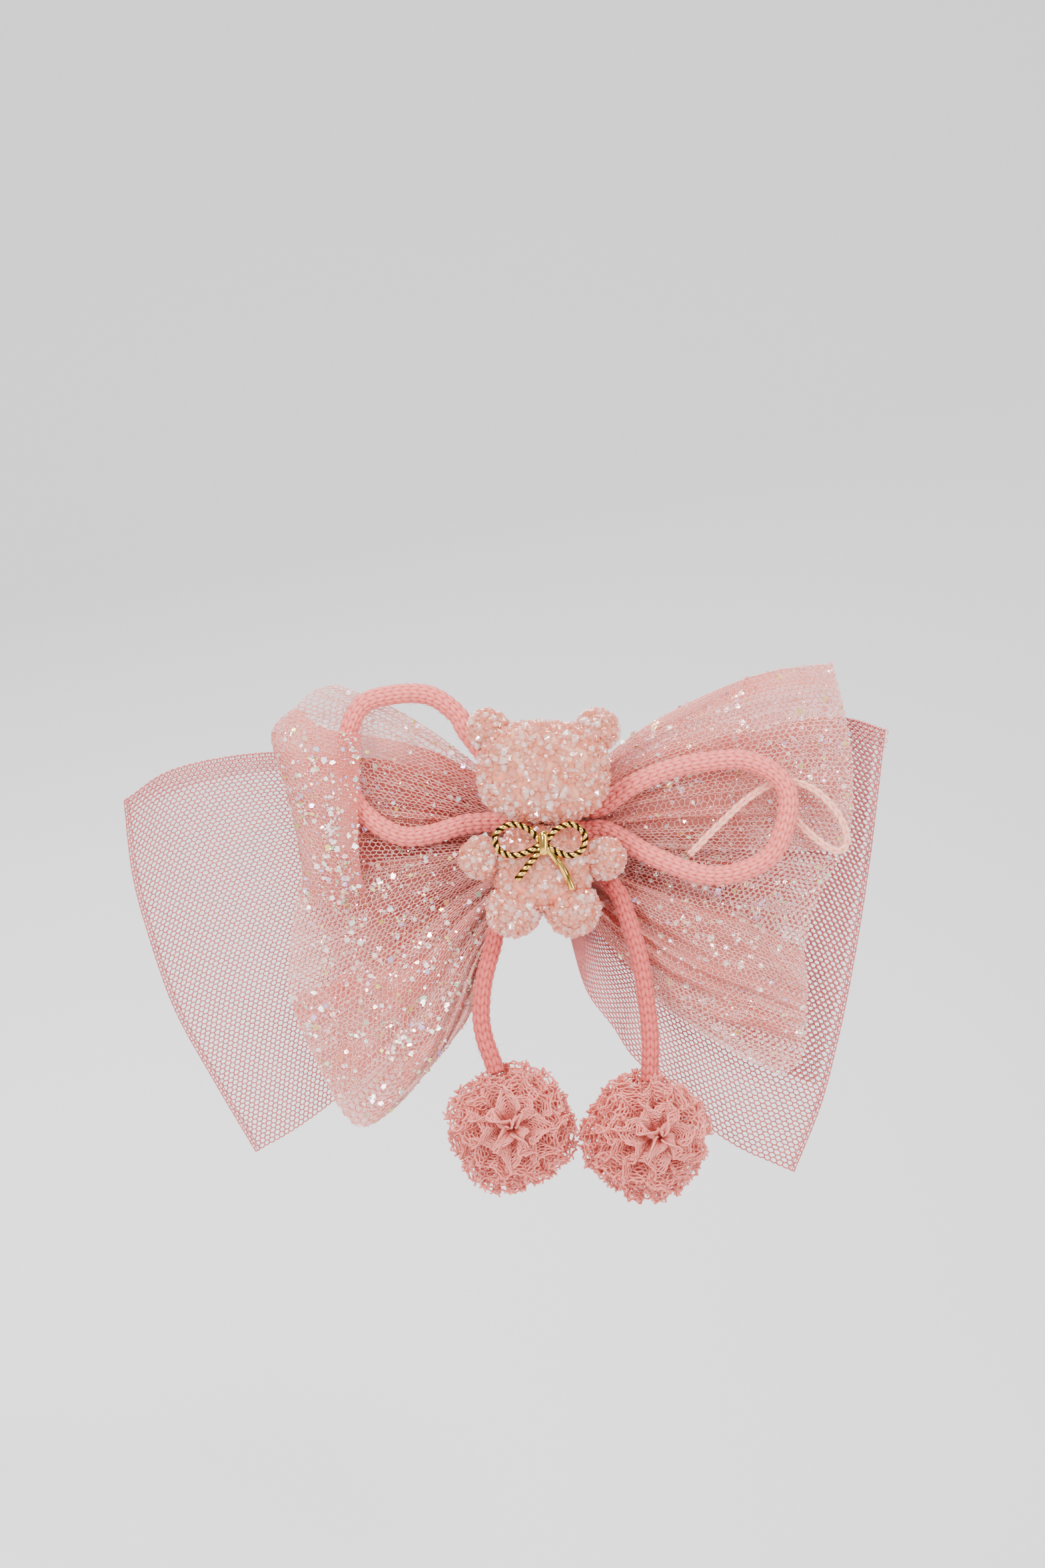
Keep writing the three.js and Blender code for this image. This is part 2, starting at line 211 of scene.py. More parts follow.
def grey(value):
    """A ramp colour that stands for a number."""
    return (value, value, value, 1)


def tint_of(tree):
    """The share that each point of a mesh carries as its tint."""
    return add_node(tree, "ShaderNodeAttribute", {"attribute_name": "tint"}).outputs["Fac"]


def math_node(tree, operation, links, clamp=False, **values):
    """The result of a maths node."""
    settings = {"operation": operation, "use_clamp": clamp}
    return add_node(tree, "ShaderNodeMath", settings, links, **values).outputs[0]


def add_bump(tree, shader, height, strength, distance=0.0001):
    """Raises the surface by the height, at most distance metres."""
    bump = add_node(tree, "ShaderNodeBump", Strength=strength, Distance=distance, links={"Height": height})
    tree.links.new(bump.outputs[0], shader.inputs["Normal"])


def ramp(tree, source, stops):
    """A colour ramp through (position, colour) stops."""
    node = tree.nodes.new("ShaderNodeValToRGB")
    elements = node.color_ramp.elements
    while len(elements) < len(stops):
        elements.new(0.5)
    for element, (position, colour) in zip(elements, stops):
        element.position = position
        element.color = colour
    tree.links.new(source, node.inputs[0])
    return node.outputs[0]


def object_noise(tree, scale, detail=2.0, stretch=(1, 1, 1)):
    """Noise in the piece's own coordinates, scale in cells per metre."""
    coords = add_node(tree, "ShaderNodeTexCoord")
    mapping = add_node(tree, "ShaderNodeMapping", links={"Vector": coords.outputs["Object"]}, Scale=stretch)
    return add_node(tree, "ShaderNodeTexNoise", links={"Vector": mapping.outputs[0]}, Scale=scale,
                    Detail=detail).outputs["Fac"]


# Materials


def cloth_mix(tree, output, front, colour, glow, clear=None):
    """Ends a cloth's tree: part of the light goes through it, and where clear is given it is sheer."""
    through = add_node(tree, "ShaderNodeBsdfTranslucent", links={"Color": colour})
    cloth = add_node(tree, "ShaderNodeMixShader", _0=glow)
    tree.links.new(front.outputs[0], cloth.inputs[1])
    tree.links.new(through.outputs[0], cloth.inputs[2])
    if clear is not None:
        open_air = add_node(tree, "ShaderNodeBsdfTransparent")
        sheer = add_node(tree, "ShaderNodeMixShader", links={0: clear})
        tree.links.new(open_air.outputs[0], sheer.inputs[1])
        tree.links.new(cloth.outputs[0], sheer.inputs[2])
        cloth = sheer
    tree.links.new(cloth.outputs[0], output.inputs[0])


def thread_material(name, deep, light, glint=0.0, roughness=0.55, glow=0.3):
    """Fine synthetic thread: from deep to light along its tint, which paints shade and light on it, with
    pearly glints, and light that comes through it."""
    material, tree, shader, output = new_material(name, Roughness=roughness, Sheen_Weight=0.05,
                                                  Sheen_Roughness=0.4, IOR=1.53)
    uneven = math_node(tree, "MULTIPLY_ADD", {0: object_noise(tree, 700, 3), 2: tint_of(tree)}, _1=0.5)
    colour = ramp(tree, uneven, [(0.25, srgb(deep)), (1.0, srgb(light))])
    tree.links.new(colour, shader.inputs["Base Color"])
    if glint:
        mask = ramp(tree, object_noise(tree, 1500, 1), [(0.60, grey(0)), (0.66, grey(glint))])
        tree.links.new(mask, shader.inputs["Metallic"])
    cloth_mix(tree, output, shader, colour, glow)
    return material


def flake_material():
    """Iridescent film flakes: clear-looking plates that flash white, mint, lilac, pink and gold."""
    material, tree, shader, _ = new_material("iridescent_film_flake", Metallic=0.55, Roughness=0.22,
                                             Coat_Weight=0.4, Thin_Film_Thickness=420, Thin_Film_IOR=1.5)
    stops = [(0.0, srgb("#f6d6cf")), (0.35, srgb("#fbe6df")), (0.5, srgb("#ffffff")), (0.62, srgb("#bfe4ae")),
             (0.72, srgb("#cdb4ee")), (0.84, srgb("#ffc4bd")), (0.95, srgb("#d9cd6e"))]
    tree.links.new(ramp(tree, tint_of(tree), stops), shader.inputs["Base Color"])
    return material


def sheer_material(name, deep, light, densest, glow=0.45):
    """Many fine layers seen as one: cloudy cloth that is densest where its tint is 1 and clears
    towards its edges, with streaks along the gathers."""
    material, tree, shader, output = new_material(name, Roughness=0.6, Sheen_Weight=0.1)
    colour = ramp(tree, object_noise(tree, 160, 5), [(0.32, srgb(deep)), (0.68, srgb(light))])
    uneven = math_node(tree, "MULTIPLY_ADD", {0: object_noise(tree, 900, 3)}, _1=0.7, _2=0.65)
    clear = math_node(tree, "MULTIPLY", {0: tint_of(tree), 1: uneven}, clamp=True)
    cover = math_node(tree, "MULTIPLY", {0: clear}, _1=densest)
    tree.links.new(colour, shader.inputs["Base Color"])
    add_bump(tree, shader, object_noise(tree, 4200, 2), 0.3)
    cloth_mix(tree, output, shader, colour, glow, cover)
    return material


def yarn_material(name, deep, mid, light):
    """Spun yarn: a painted highlight, lighter, on the raised stitches and painted shade, redder, in the gaps,
    with a fibre bump.
    """
    material, tree, shader, _ = new_material(name, Roughness=0.75, Sheen_Weight=0.06, Sheen_Roughness=0.5,
                                             Subsurface_Weight=0.2, Subsurface_Scale=0.0008)
    colour = ramp(tree, tint_of(tree), [(0.0, srgb(deep)), (0.45, srgb(mid)), (1.0, srgb(light))])
    tree.links.new(colour, shader.inputs["Base Color"])
    add_bump(tree, shader, object_noise(tree, 4200, 3), 0.5)
    return material


def crystal_material():
    """Cut stones: over half of the light goes straight through them to the pink resin, hard bright
    glints sit on their facets, and the clearest have a rainbow film."""
    material, tree, shader, output = new_material("cut_crystal", Roughness=0.03, IOR=1.8, Coat_Weight=1.0,
                                                  Coat_IOR=2.2, Coat_Roughness=0.01, Thin_Film_IOR=1.8)
    tint = tint_of(tree)
    colour = ramp(tree, tint, [(0.0, srgb("#ec8f70")), (0.6, srgb("#f2ac91")), (0.9, srgb("#fff0e8"))])
    film = ramp(tree, tint, [(0.90, grey(0)), (0.92, grey(1))])
    body = ramp(tree, tint, [(0.1, grey(0.5)), (0.7, grey(0.36)), (0.95, grey(0.48))])
    thickness = math_node(tree, "MULTIPLY", {0: film}, _1=450.0)
    tree.links.new(colour, shader.inputs["Base Color"])
    tree.links.new(thickness, shader.inputs["Thin Film Thickness"])
    clear = add_node(tree, "ShaderNodeBsdfTransparent", _0=srgb("#ffe9e3"))
    glass = add_node(tree, "ShaderNodeMixShader", links={0: body, 1: clear.outputs[0], 2: shader.outputs[0]})
    tree.links.new(glass.outputs[0], output.inputs[0])
    return material


def resin_material():
    """Milky pink resin: cloudy, so that light spreads in it under the stones."""
    material, tree, shader, _ = new_material("milky_resin", Roughness=0.3, IOR=1.5, Subsurface_Weight=0.7,
                                             Subsurface_Scale=0.003)
    colour = ramp(tree, object_noise(tree, 350, 3), [(0.3, srgb("#ec7a5a")), (0.7, srgb("#f59a80"))])
    tree.links.new(colour, shader.inputs["Base Color"])
    return material


def gold_material():
    """Polished gold plate, bright gold on the ridges of the rope, with painted shade and painted dark
    reflections, near black, in its grooves.
    """
    material, tree, shader, _ = new_material("gold_plate", Metallic=1)
    # painted shade and dark reflections: near black where the rope's tint is low, in the grooves
    stops = [(0.42, srgb("#0d0702")), (0.68, srgb("#7c5213")), (0.95, srgb("#f0c566"))]
    rough = ramp(tree, object_noise(tree, 1400, 2), [(0.3, grey(0.08)), (0.8, grey(0.2))])
    tree.links.new(ramp(tree, tint_of(tree), stops), shader.inputs["Base Color"])
    tree.links.new(rough, shader.inputs["Roughness"])
    return material


def steel_material():
    """Nickel-plated spring steel with fine rolling lines along the strip."""
    material, tree, shader, _ = new_material("nickel_plated_steel", Base_Color=srgb("#c9c9cb"), Metallic=1)
    lines = object_noise(tree, 900, 4, (0.05, 1, 1))
    rough = ramp(tree, lines, [(0.3, grey(0.22)), (0.7, grey(0.42))])
    tree.links.new(rough, shader.inputs["Roughness"])
    add_bump(tree, shader, lines, 0.08)
    return material


def felt_material():
    """Pressed felt: matte, with a fuzzy tangle of fibres."""
    material, tree, shader, _ = new_material("felt", Roughness=1, Sheen_Weight=0.5)
    tangle = object_noise(tree, 2600, 6)
    colour = ramp(tree, tangle, [(0.35, srgb("#ee8d7c")), (0.65, srgb("#f8ab9c"))])
    tree.links.new(colour, shader.inputs["Base Color"])
    add_bump(tree, shader, tangle, 0.6, 0.0003)
    return material


STIFF_THREAD = thread_material("stiff_mesh_thread", "#bb3f42", "#ef9793", 0.25, roughness=0.4, glow=0.35)
TULLE_THREAD = thread_material("tulle_thread", "#e76d5e", "#ffcfc5", glow=0.45)
RUFFLE_THREAD = thread_material("pompom_net_thread", "#dc4236", "#ffa698", roughness=0.45, glow=0.4)
FLAKE = flake_material()
TULLE_HAZE = sheer_material("layered_tulle", "#eb7d6e", "#f8a799", 0.74)
# deep red: the lining's pink, darkened with painted shade of the insides of the loops
ORGANZA_AND_PAINTED_SHADE = sheer_material("organza", "#c34033", "#de6253", 0.95)
# the cord's yarn in darker colours: painted shade for the tails, which hang in the shadow of the lobes
SHADED_TAIL_YARN = yarn_material("knitted_tail_yarn_painted_shade", "#6c1015", "#a62c29", "#d4615a")
CORD_YARN = yarn_material("knitted_cord_yarn", "#8c1b1f", "#c33d39", "#ee8177")
CHAIN_YARN = yarn_material("chain_cord_yarn", "#cf5f47", "#f3927c", "#fdbca8")
CORE_YARN = yarn_material("pompom_core_net", "#e2574c", "#f07d72", "#fba195")
CRYSTAL = crystal_material()
RESIN = resin_material()
GOLD = gold_material()
STEEL = steel_material()
FELT = felt_material()
BAND = sheer_material("gathered_band_cloth", "#f08d80", "#f9b0a5", 1.5)


# Curves and surfaces


def smooth_curve(points, samples):
    """Evenly spaced points along a Catmull-Rom curve through a few given points."""
    points = np.asarray(points, dtype=float)
    if len(points) == 2:
        return points[0] + np.linspace(0, 1, samples)[:, None] * (points[1] - points[0])
    padded = np.vstack([2 * points[0] - points[1], points, 2 * points[-1] - points[-2]])
    t = np.linspace(0, 1, 24, endpoint=False)[:, None]
    parts = []
    for p0, p1, p2, p3 in zip(padded, padded[1:], padded[2:], padded[3:]):
        parts.append(0.5 * (2 * p1 + (p2 - p0) * t + (2 * p0 - 5 * p1 + 4 * p2 - p3) * t ** 2
                            + (3 * p1 - p0 - 3 * p2 + p3) * t ** 3))
    dense = np.vstack([*parts, points[-1:]])
    length = np.concatenate([[0], np.cumsum(np.linalg.norm(np.diff(dense, axis=0), axis=1))])
    wanted = np.linspace(0, length[-1], samples)
    return np.stack([np.interp(wanted, length, dense[:, k]) for k in range(dense.shape[1])], axis=1)


def along(points):
    """A function from a 0 to 1 share of a curve's length to the point there."""
    curve = smooth_curve(points, 200)
    share = np.linspace(0, 1, 200)
    return lambda s: np.stack([np.interp(s, share, curve[:, k]) for k in range(curve.shape[1])], axis=-1)


def coons(side_a, side_b, outer):
    """A fan-shaped patch in the XZ plane between two side edges that leave the gathered middle and
    the outer edge that joins their far ends: the sum of the two ruled patches less the corners."""
    a, b, o = along(side_a), along(side_b), along(outer)
    a0, a1, b0, b1 = (np.asarray(p, dtype=float) for p in (side_a[0], side_a[-1], side_b[0], side_b[-1]))

    def place(t, v):
        t1, v1 = t[..., None], v[..., None]
        inner = a0 + v1 * (b0 - a0)
        corners = (1 - t1) * ((1 - v1) * a0 + v1 * b0) + t1 * ((1 - v1) * a1 + v1 * b1)
        return (1 - v1) * a(t) + v1 * b(t) + (1 - t1) * inner + t1 * o(v) - corners
    return place


def honeycomb(width, height, cell, rise):
    """The nodes and the threads of a hexagonal net on a width by height strip, in shares of the strip.
    Each row is a zigzag that steps up and down by a sixth of a row, rise cells from the next row, and
    every other step has an upright thread to it."""
    row = cell * rise
    columns, rows = int(width / (cell / 2)) + 1, int(height / row) + 1
    i, j = np.meshgrid(np.arange(columns), np.arange(rows), indexing="ij")
    up = (i + j) % 2 == 0
    nodes = np.stack([i * cell / 2, (j + np.where(up, 0.17, -0.17) + 0.17) * row], axis=-1)
    index = np.arange(columns * rows).reshape(columns, rows)
    level = np.stack([index[:-1].ravel(), index[1:].ravel()], axis=1)
    rising = up[:, :-1]
    upright = np.stack([index[:, :-1][rising], index[:, 1:][rising]], axis=1)
    nodes = nodes.reshape(-1, 2) / [nodes[..., 0].max(), nodes[..., 1].max()]
    return nodes, np.concatenate([level, upright])


def surface_normals(surface, u, v):
    """Unit normals, from small steps on the surface along u and along v."""
    step = 2e-3
    du = surface(np.clip(u + step, 0, 1), v) - surface(np.clip(u - step, 0, 1), v)
    dv = surface(u, np.clip(v + step, 0, 1)) - surface(u, np.clip(v - step, 0, 1))
    return unit(np.cross(du, dv))


def threads(points, normals, edges, width, height):
    """Each edge as a thread with a three-sided section that stands on the sheet."""
    a, b = points[edges[:, 0]], points[edges[:, 1]]
    n = unit(normals[edges[:, 0]] + normals[edges[:, 1]])
    side = unit(np.cross(n, b - a)) * width / 2
    low, high = n * (-height / 3), n * (height * 2 / 3)
    verts = np.stack([a - side + low, a + side + low, a + high,
                      b - side + low, b + side + low, b + high], axis=1)
    quads = np.array([[0, 1, 4, 3], [1, 2, 5, 4], [2, 0, 3, 5]])
    faces = (np.arange(len(edges))[:, None, None] * 6 + quads).reshape(-1, 4)
    return verts.reshape(-1, 3), faces


def net(shape, surface, size, cell, thread, slot=0, rise=0.866, tint=None, uneven=0.0):
    """A hexagonal net laid on a surface of u and v from 0 to 1, size being its flat size. Its tint is
    a function of u and v, and uneven is how far its nodes are pulled about, in cells."""
    nodes, edges = honeycomb(size[0], size[1], cell, rise)
    if uneven:
        pull = np.random.default_rng(SEED).normal(0, uneven * cell, nodes.shape)
        nodes = np.clip(nodes + pull / np.asarray(size), 0, 1)
    u, v = nodes[:, 0], nodes[:, 1]
    verts, faces = threads(surface(u, v), surface_normals(surface, u, v), edges, thread, thread * 0.8)
    shade = np.full(len(u), 0.5) if tint is None else tint(u, v)
    shape.add(verts, faces, slot, np.repeat(shade[edges], 3, axis=1).ravel())


def edge_threads(shape, surface, u, v, thread, slot=0, tint=0.5):
    """One thread along a line of u and v on the surface, as for a selvage or a hem."""
    points, normals = surface(u, v), surface_normals(surface, u, v)
    edges = np.stack([np.arange(len(u) - 1), np.arange(1, len(u))], axis=1)
    verts, faces = threads(points, normals, edges, thread, thread)
    shape.add(verts, faces, slot, tint)


def flakes(shape, surface, count, size, rng, slot, lift=0.15):
    """Cut film flakes glued on a sheet, over half of them in clusters of one hue. Each is an uneven
    five-sided plate, and most are small."""
    clusters = max(3, count // 14)
    which = rng.integers(0, clusters, count)
    middle = rng.random((clusters, 2))[which] + rng.normal(0, 0.045, (count, 2))
    place = np.where(rng.random((count, 1)) < 0.55, middle, rng.random((count, 2))) % 1.0
    u, v = place[:, 0], place[:, 1]
    centre = surface(u, v)
    normal = unit(surface_normals(surface, u, v) + rng.normal(0, 0.32, (count, 3)))
    first = unit(np.cross(normal, rng.normal(size=(count, 3))))
    second = np.cross(normal, first)
    radius = size / 2 * (0.3 + 1.0 * rng.random(count) ** 3)
    angles = np.arange(5) * TAU / 5 + rng.uniform(-0.35, 0.35, (count, 5))
    reach = radius[:, None] * rng.uniform(0.65, 1.2, (count, 5))
    rim = (first[:, None] * (np.cos(angles) * reach)[..., None]
           + second[:, None] * (np.sin(angles) * reach)[..., None])
    verts = centre[:, None] + rim + normal[:, None] * lift
    faces = np.arange(count * 5).reshape(count, 5)
    hue = (rng.random(clusters)[which] + rng.normal(0, 0.16, count)) % 1.0
    shape.add(verts.reshape(-1, 3), faces, slot, np.repeat(hue, 5))


def sheet_grid(shape, surface, columns, rows, slot=0, tint=None):
    """A continuous sheet as a grid of quads; its tint is a function of u and v."""
    u, v = np.meshgrid(np.linspace(0, 1, columns), np.linspace(0, 1, rows), indexing="ij")
    index = np.arange(columns * rows).reshape(columns, rows)
    quads = np.stack([index[:-1, :-1], index[1:, :-1], index[1:, 1:], index[:-1, 1:]], axis=-1).reshape(-1, 4)
    shade = 0.5 if tint is None else tint(u, v).ravel()
    shape.add(surface(u, v).reshape(-1, 3), quads, slot, shade)


def in_space(plane, depth):
    """A surface from a patch in the XZ plane and a depth in Y."""
    def surface(u, v):
        flat = plane(u, v)
        return np.stack([flat[..., 0], depth(u, v), flat[..., 1]], axis=-1)
    return surface


def fold_angle(u, v, count, phase):
    """Where a point is on its fold: the turn of a wave of uneven pitch across the fan."""
    across = v + 0.05 * np.sin(TAU * 1.3 * v + phase) + 0.03 * np.sin(5 * u + 2 * phase)
    return TAU * count * across + phase


def fold_size(u, v, phase):
    """How deep the folds are: from full at the gathers to a third at the outer edge, and uneven."""
    fade = np.clip(u / 0.12, 0, 1) * (1 - 0.65 * np.clip(u, 0, 1) ** 1.4)
    return fade * (0.6 + 0.4 * np.sin(TAU * 1.7 * v + 3 * phase))


def pleats(u, v, count, height, phase=0.0):
    """Folds that fan out from the gathered middle, with one slow fold that runs to the outer edge."""
    small = np.sin(fold_angle(u, v, count, phase)) * fold_size(u, v, phase)
    large = np.sin(TAU * 2.3 * v + 1.7 * phase + 1.5 * u) * np.sin(np.pi * np.clip(u, 0, 1) ** 0.8)
    return height * (0.9 * small + 0.7 * large)


def crumple(u, v, phase):
    """Creases of the loose cloth in three directions: each is 1 less the size of a sine, so that it
    peaks sharply, and all grow away from the gathers."""
    lines = (8 * u + 6 * v + phase, 11 * v - 5 * u + 2.1 * phase, 15 * u - 3 * v + 3.3 * phase)
    ridges = sum(weight * (1 - np.abs(np.sin(line))) for weight, line in zip((0.6, 0.5, 0.4), lines))
    return (ridges - 0.55) * np.clip(u * 1.6 - 0.2, 0, 1)


def bunched(plane, count, phase):
    """A patch whose cloth is drawn together on the flanks of its folds: across the fan, a point moves
    by sines of the fold's turn and of twice that turn."""
    def place(u, v):
        turn = fold_angle(u, v, count, phase)
        shift = (0.55 * np.sin(turn + 1.1) + 0.42 * np.sin(2 * turn)) * fold_size(u, v, phase)
        return plane(u, np.clip(v - shift / (TAU * count), 0, 1))
    return place


def lobe(plane, base, rise, count, height, phase, rolled=None):
    """One layer of a lobe: a puff that is fullest past the middle, crossed by folds. An edge that is
    a fold, the top or the bottom one, rolls away to the back."""
    def depth(u, v):
        edge = {None: 1 + 0 * v, "top": v, "bottom": 1 - v}[rolled]
        roll = 2.2 * np.exp(-edge / 0.05) * np.clip(2 * u, 0, 1)
        puff = np.sin(np.pi * np.clip(u, 0, 1) ** 1.1) ** 0.7
        swell = rise * puff * (0.55 + 0.45 * np.sin(np.pi * v))
        return base - swell + roll + pleats(u, v, count, height, phase) - 1.3 * height * crumple(u, v, phase)
    return in_space(bunched(plane, count, phase), depth)


# Rounded balls


def squared(direction, power):
    """Directions pushed out from the unit sphere to where their powers add up to 1: 2 keeps the
    sphere, and a higher power goes towards a box."""
    return direction / (np.abs(direction) ** power).sum(axis=-1, keepdims=True) ** (1 / power)


def squared_ball(shape, centre, radii, power, ripple=0.0):
    """A closed ball or rounded box on a grid of turn and height, with an uneven surface."""
    turns, rows = 56, 34
    a, b = np.meshgrid(np.linspace(0, TAU, turns, endpoint=False),
                       np.linspace(CLEAR_OF_POLE, math.pi - CLEAR_OF_POLE, rows), indexing="ij")
    sphere = np.stack([np.sin(b) * np.cos(a), np.sin(b) * np.sin(a), np.cos(b)], axis=-1)
    bumpy = 1 + ripple * np.sin(9 * a + 3 * np.cos(5 * b)) * np.sin(b) * np.sin(7 * b + 2 * np.sin(3 * a))
    points = np.asarray(centre) + squared(sphere, power) * np.asarray(radii) * bumpy[..., None]
    index = np.arange(turns * rows).reshape(turns, rows).T
    shape.add(points.reshape(-1, 3), ring_quads(index), 0, 0.5)
    shape.add_faces(np.stack([index[0, ::-1], index[-1]]), index.size)


# Cords


def frames_along(path):
    """Tangents and two steady side directions along a path."""
    tangent = unit(np.gradient(path, axis=0))
    side = np.zeros_like(path)
    side[0] = unit(np.cross(tangent[0], [0.3, 1, 0.2]))
    for k in range(1, len(path)):
        carried = side[k - 1] - tangent[k] * np.dot(side[k - 1], tangent[k])
        side[k] = carried / np.linalg.norm(carried)
    return tangent, side, np.cross(tangent, side)


def path_length(path):
    """The length of a line of points."""
    return float(np.linalg.norm(np.diff(path, axis=0), axis=1).sum())


def ring_quads(index):
    """Quads between neighbouring rings of point numbers, the last two axes being rings and sides."""
    turned = np.roll(index, -1, axis=-1)
    return np.stack([index[..., :-1, :], index[..., 1:, :], turned[..., 1:, :], turned[..., :-1, :]],
                    axis=-1).reshape(-1, 4)


def sweep(path, radius, sides):
    """A closed tube along a path; radius may vary along it and around it."""
    _, side, other = frames_along(path)
    angle = np.arange(sides) * TAU / sides
    ring = side[:, None] * np.cos(angle)[None, :, None] + other[:, None] * np.sin(angle)[None, :, None]
    verts = path[:, None] + ring * np.broadcast_to(radius, (len(path), sides))[..., None]
    index = np.arange(len(path) * sides).reshape(len(path), sides)
    return verts.reshape(-1, 3), ring_quads(index)[:, ::-1], np.stack([index[0, ::-1], index[-1]])


def knitted(shape, route, diameter, wales, course, leg=None, turn=0.0):
    """A knitted tube: a core in the yarn's deepest colour, painted shade seen in the gaps, and on it
    columns of V stitches, with a painted highlight on their outer faces and painted shade under them
    and at their ends. Each V is two teardrops of yarn that start side by side and lean apart: with r
    from 0 to 1 along a teardrop, it is at row (row + 1.6 r) and at an angle (column + side * half
    column * (0.14 + 0.72 r)), and it sinks at its ends. Returns the centre line and its length."""
    length = path_length(smooth_curve(route, 400))
    courses = max(3, int(round(length / course)))
    path = smooth_curve(route, courses * 3 + 1)
    _, side, other = frames_along(path)
    leg = leg or math.pi * diameter / wales / 4 * 1.08
    core = diameter / 2 - leg * 1.35
    verts, quads, caps = sweep(path, core, 10)
    # the core's tint 0 is the yarn's deepest colour: painted shade in the gaps between the stitches
    shape.add(verts, quads, 0, 0.0)
    shape.add_faces(caps, len(verts))
    half = math.pi / wales
    grid = np.meshgrid(np.arange(wales), np.arange(-1, courses), [-1, 1], indexing="ij")
    wale, row, lean = (g.ravel() for g in grid)
    along_leg = np.linspace(0, 1, LEG_RINGS)
    fat = leg * np.array([0.42, 0.86, 1.0, 1.0, 0.84, 0.40])
    s = np.clip((row[:, None] + 0.1 + 1.6 * along_leg) / courses, 0, 1)
    theta = wale[:, None] * 2 * half + turn + lean[:, None] * half * (0.14 + 0.72 * along_leg)
    lift = diameter / 2 - leg * (0.86 + 0.75 * (1 - np.sin(math.pi * (0.08 + 0.84 * along_leg))))
    share = np.linspace(0, 1, len(path))
    at, side_at, other_at = (np.stack([np.interp(s, share, line[:, k]) for k in range(3)], axis=-1)
                             for line in (path, side, other))
    out = unit(side_at * np.cos(theta)[..., None] + other_at * np.sin(theta)[..., None])
    centre = at + out * lift[..., None]
    forward = unit(np.gradient(centre, axis=1) + 1e-7)
    across = unit(np.cross(forward, out))
    around = np.arange(LEG_SIDES) * TAU / LEG_SIDES
    verts = (centre[:, :, None] + (across[:, :, None] * np.cos(around)[:, None]
                                   + np.cross(across, forward)[:, :, None] * np.sin(around)[:, None] * 0.9)
             * fat[:, None, None])
    count = len(wale)
    index = np.arange(count * LEG_RINGS * LEG_SIDES).reshape(count, LEG_RINGS, LEG_SIDES)
    quads = ring_quads(index)
    # painted highlight on each stitch's outer face and painted shade under it, and more painted shade where
    # it sinks at its ends
    tint = 0.52 + 0.48 * np.sin(around)[None, None] * np.ones((count, LEG_RINGS, 1))
    tint = tint * (0.35 + 0.65 * np.sin(math.pi * (0.1 + 0.8 * along_leg))[None, :, None])
    shape.add(verts.reshape(-1, 3), quads, 0, tint.ravel())
    shape.add_faces(np.concatenate([index[:, 0], index[:, -1, ::-1]]), index.size)
    return path, length


def fuzz(shape, path, radius, count, rng, slot=0):
    """Loose fibres that stand off a cord, each a thin thread of three bent pieces."""
    _, side, other = frames_along(path)
    at = rng.integers(0, len(path), count)
    turn = rng.random(count)[:, None] * TAU
    out = side[at] * np.cos(turn) + other[at] * np.sin(turn)
    start = path[at] + out * radius
    lean = unit(out * 0.7 + rng.normal(0, 0.6, out.shape))
    curl = rng.normal(0, 0.5, out.shape)
    reach = rng.uniform(0.3, 1.0, (count, 1))
    steps = [start + reach * (lean * t + curl * t * t) for t in (0, 0.33, 0.66, 1.0)]
    points = np.concatenate(steps)
    starts = np.arange(3 * count)
    edges = np.stack([starts, starts + count], axis=1)
    verts, faces = threads(points, np.tile(out + 0.01, (4, 1)), edges, 0.045, 0.045)
    shape.add(verts, faces, slot, 0.95)


def as_metres(path, count=40):
    """A few of a path's points, in metres."""
    picked = np.asarray(path)[np.linspace(0, len(path) - 1, count).astype(int)]
    return [tuple(float(c) for c in p * MM) for p in picked]


LOOP_LEFT = [
    (-5.4, -13, 9.6), (-14.4, -12.4, 20.8), (-16.8, -12, 24.8), (-22, -11.8, 28.4), (-29, -11.8, 28.6),
    (-35.4, -11.8, 26.4), (-38.2, -11.8, 19.5), (-37.8, -11.8, 11), (-34.5, -11.8, 5.2), (-28, -11.8, 1.2),
    (-22, -11.8, 1.4), (-15, -12.4, 3.4), (-8.5, -13, 3.8), (-5.6, -13, 3.7),
]
LOOP_RIGHT = [
    (5.4, -12.9, 6.2), (7.9, -13, 6.6), (11.4, -14.6, 7), (17.2, -17.6, 11), (24, -18, 13.9),
    (31, -18, 15.4), (39, -18, 15.8), (45.6, -18, 12.4), (47.4, -18, 6.8), (44.6, -18, -1.8),
    (38.5, -18, -5.6), (31, -18, -6.3), (21.5, -17.6, -2.9), (12.6, -14.8, 2), (8.5, -13, 2.1),
    (5.8, -12.9, 2.3),
]
CHAIN_LOOP = [
    (28.5, -14.8, -2.4), (34, -14.8, 3.2), (40, -14.8, 8.6), (46, -14.8, 11.6), (52, -14.8, 10.4),
    (57, -14.8, 5.6), (59, -14.8, 0.4), (57, -14.8, -1.8), (52.4, -14.8, 1), (47, -14.8, 6.4),
]
TAILS = {
    "left": [(-3.6, -13, -5.3), (-6.8, -13.6, -11.5), (-9.2, -14.6, -17.7), (-9.7, -15, -20),
             (-11.5, -16.6, -27), (-12, -17.6, -33.5), (-11.3, -18, -38), (-9.8, -18, -42.2),
             (-9.2, -18, -44.3)],
    "right": [(6.2, -13, -3.1), (10.4, -14.6, -5.2), (14.4, -16.6, -9.8), (15.4, -17.2, -12),
              (18.4, -17.9, -21.5), (20, -18, -31), (20.7, -18, -38.5), (20.6, -18, -43.6),
              (20.5, -18, -45.9)],
}
POMPOMS = {"left": (-6.1, -18, -55.2), "right": (19.8, -18, -56.8)}
BENDS = {"left": ((-9.1, -14.6, -17), (-10.4, -15.8, -24)), "right": ((15.0, -17, -10.5), (16.6, -17.5, -17))}
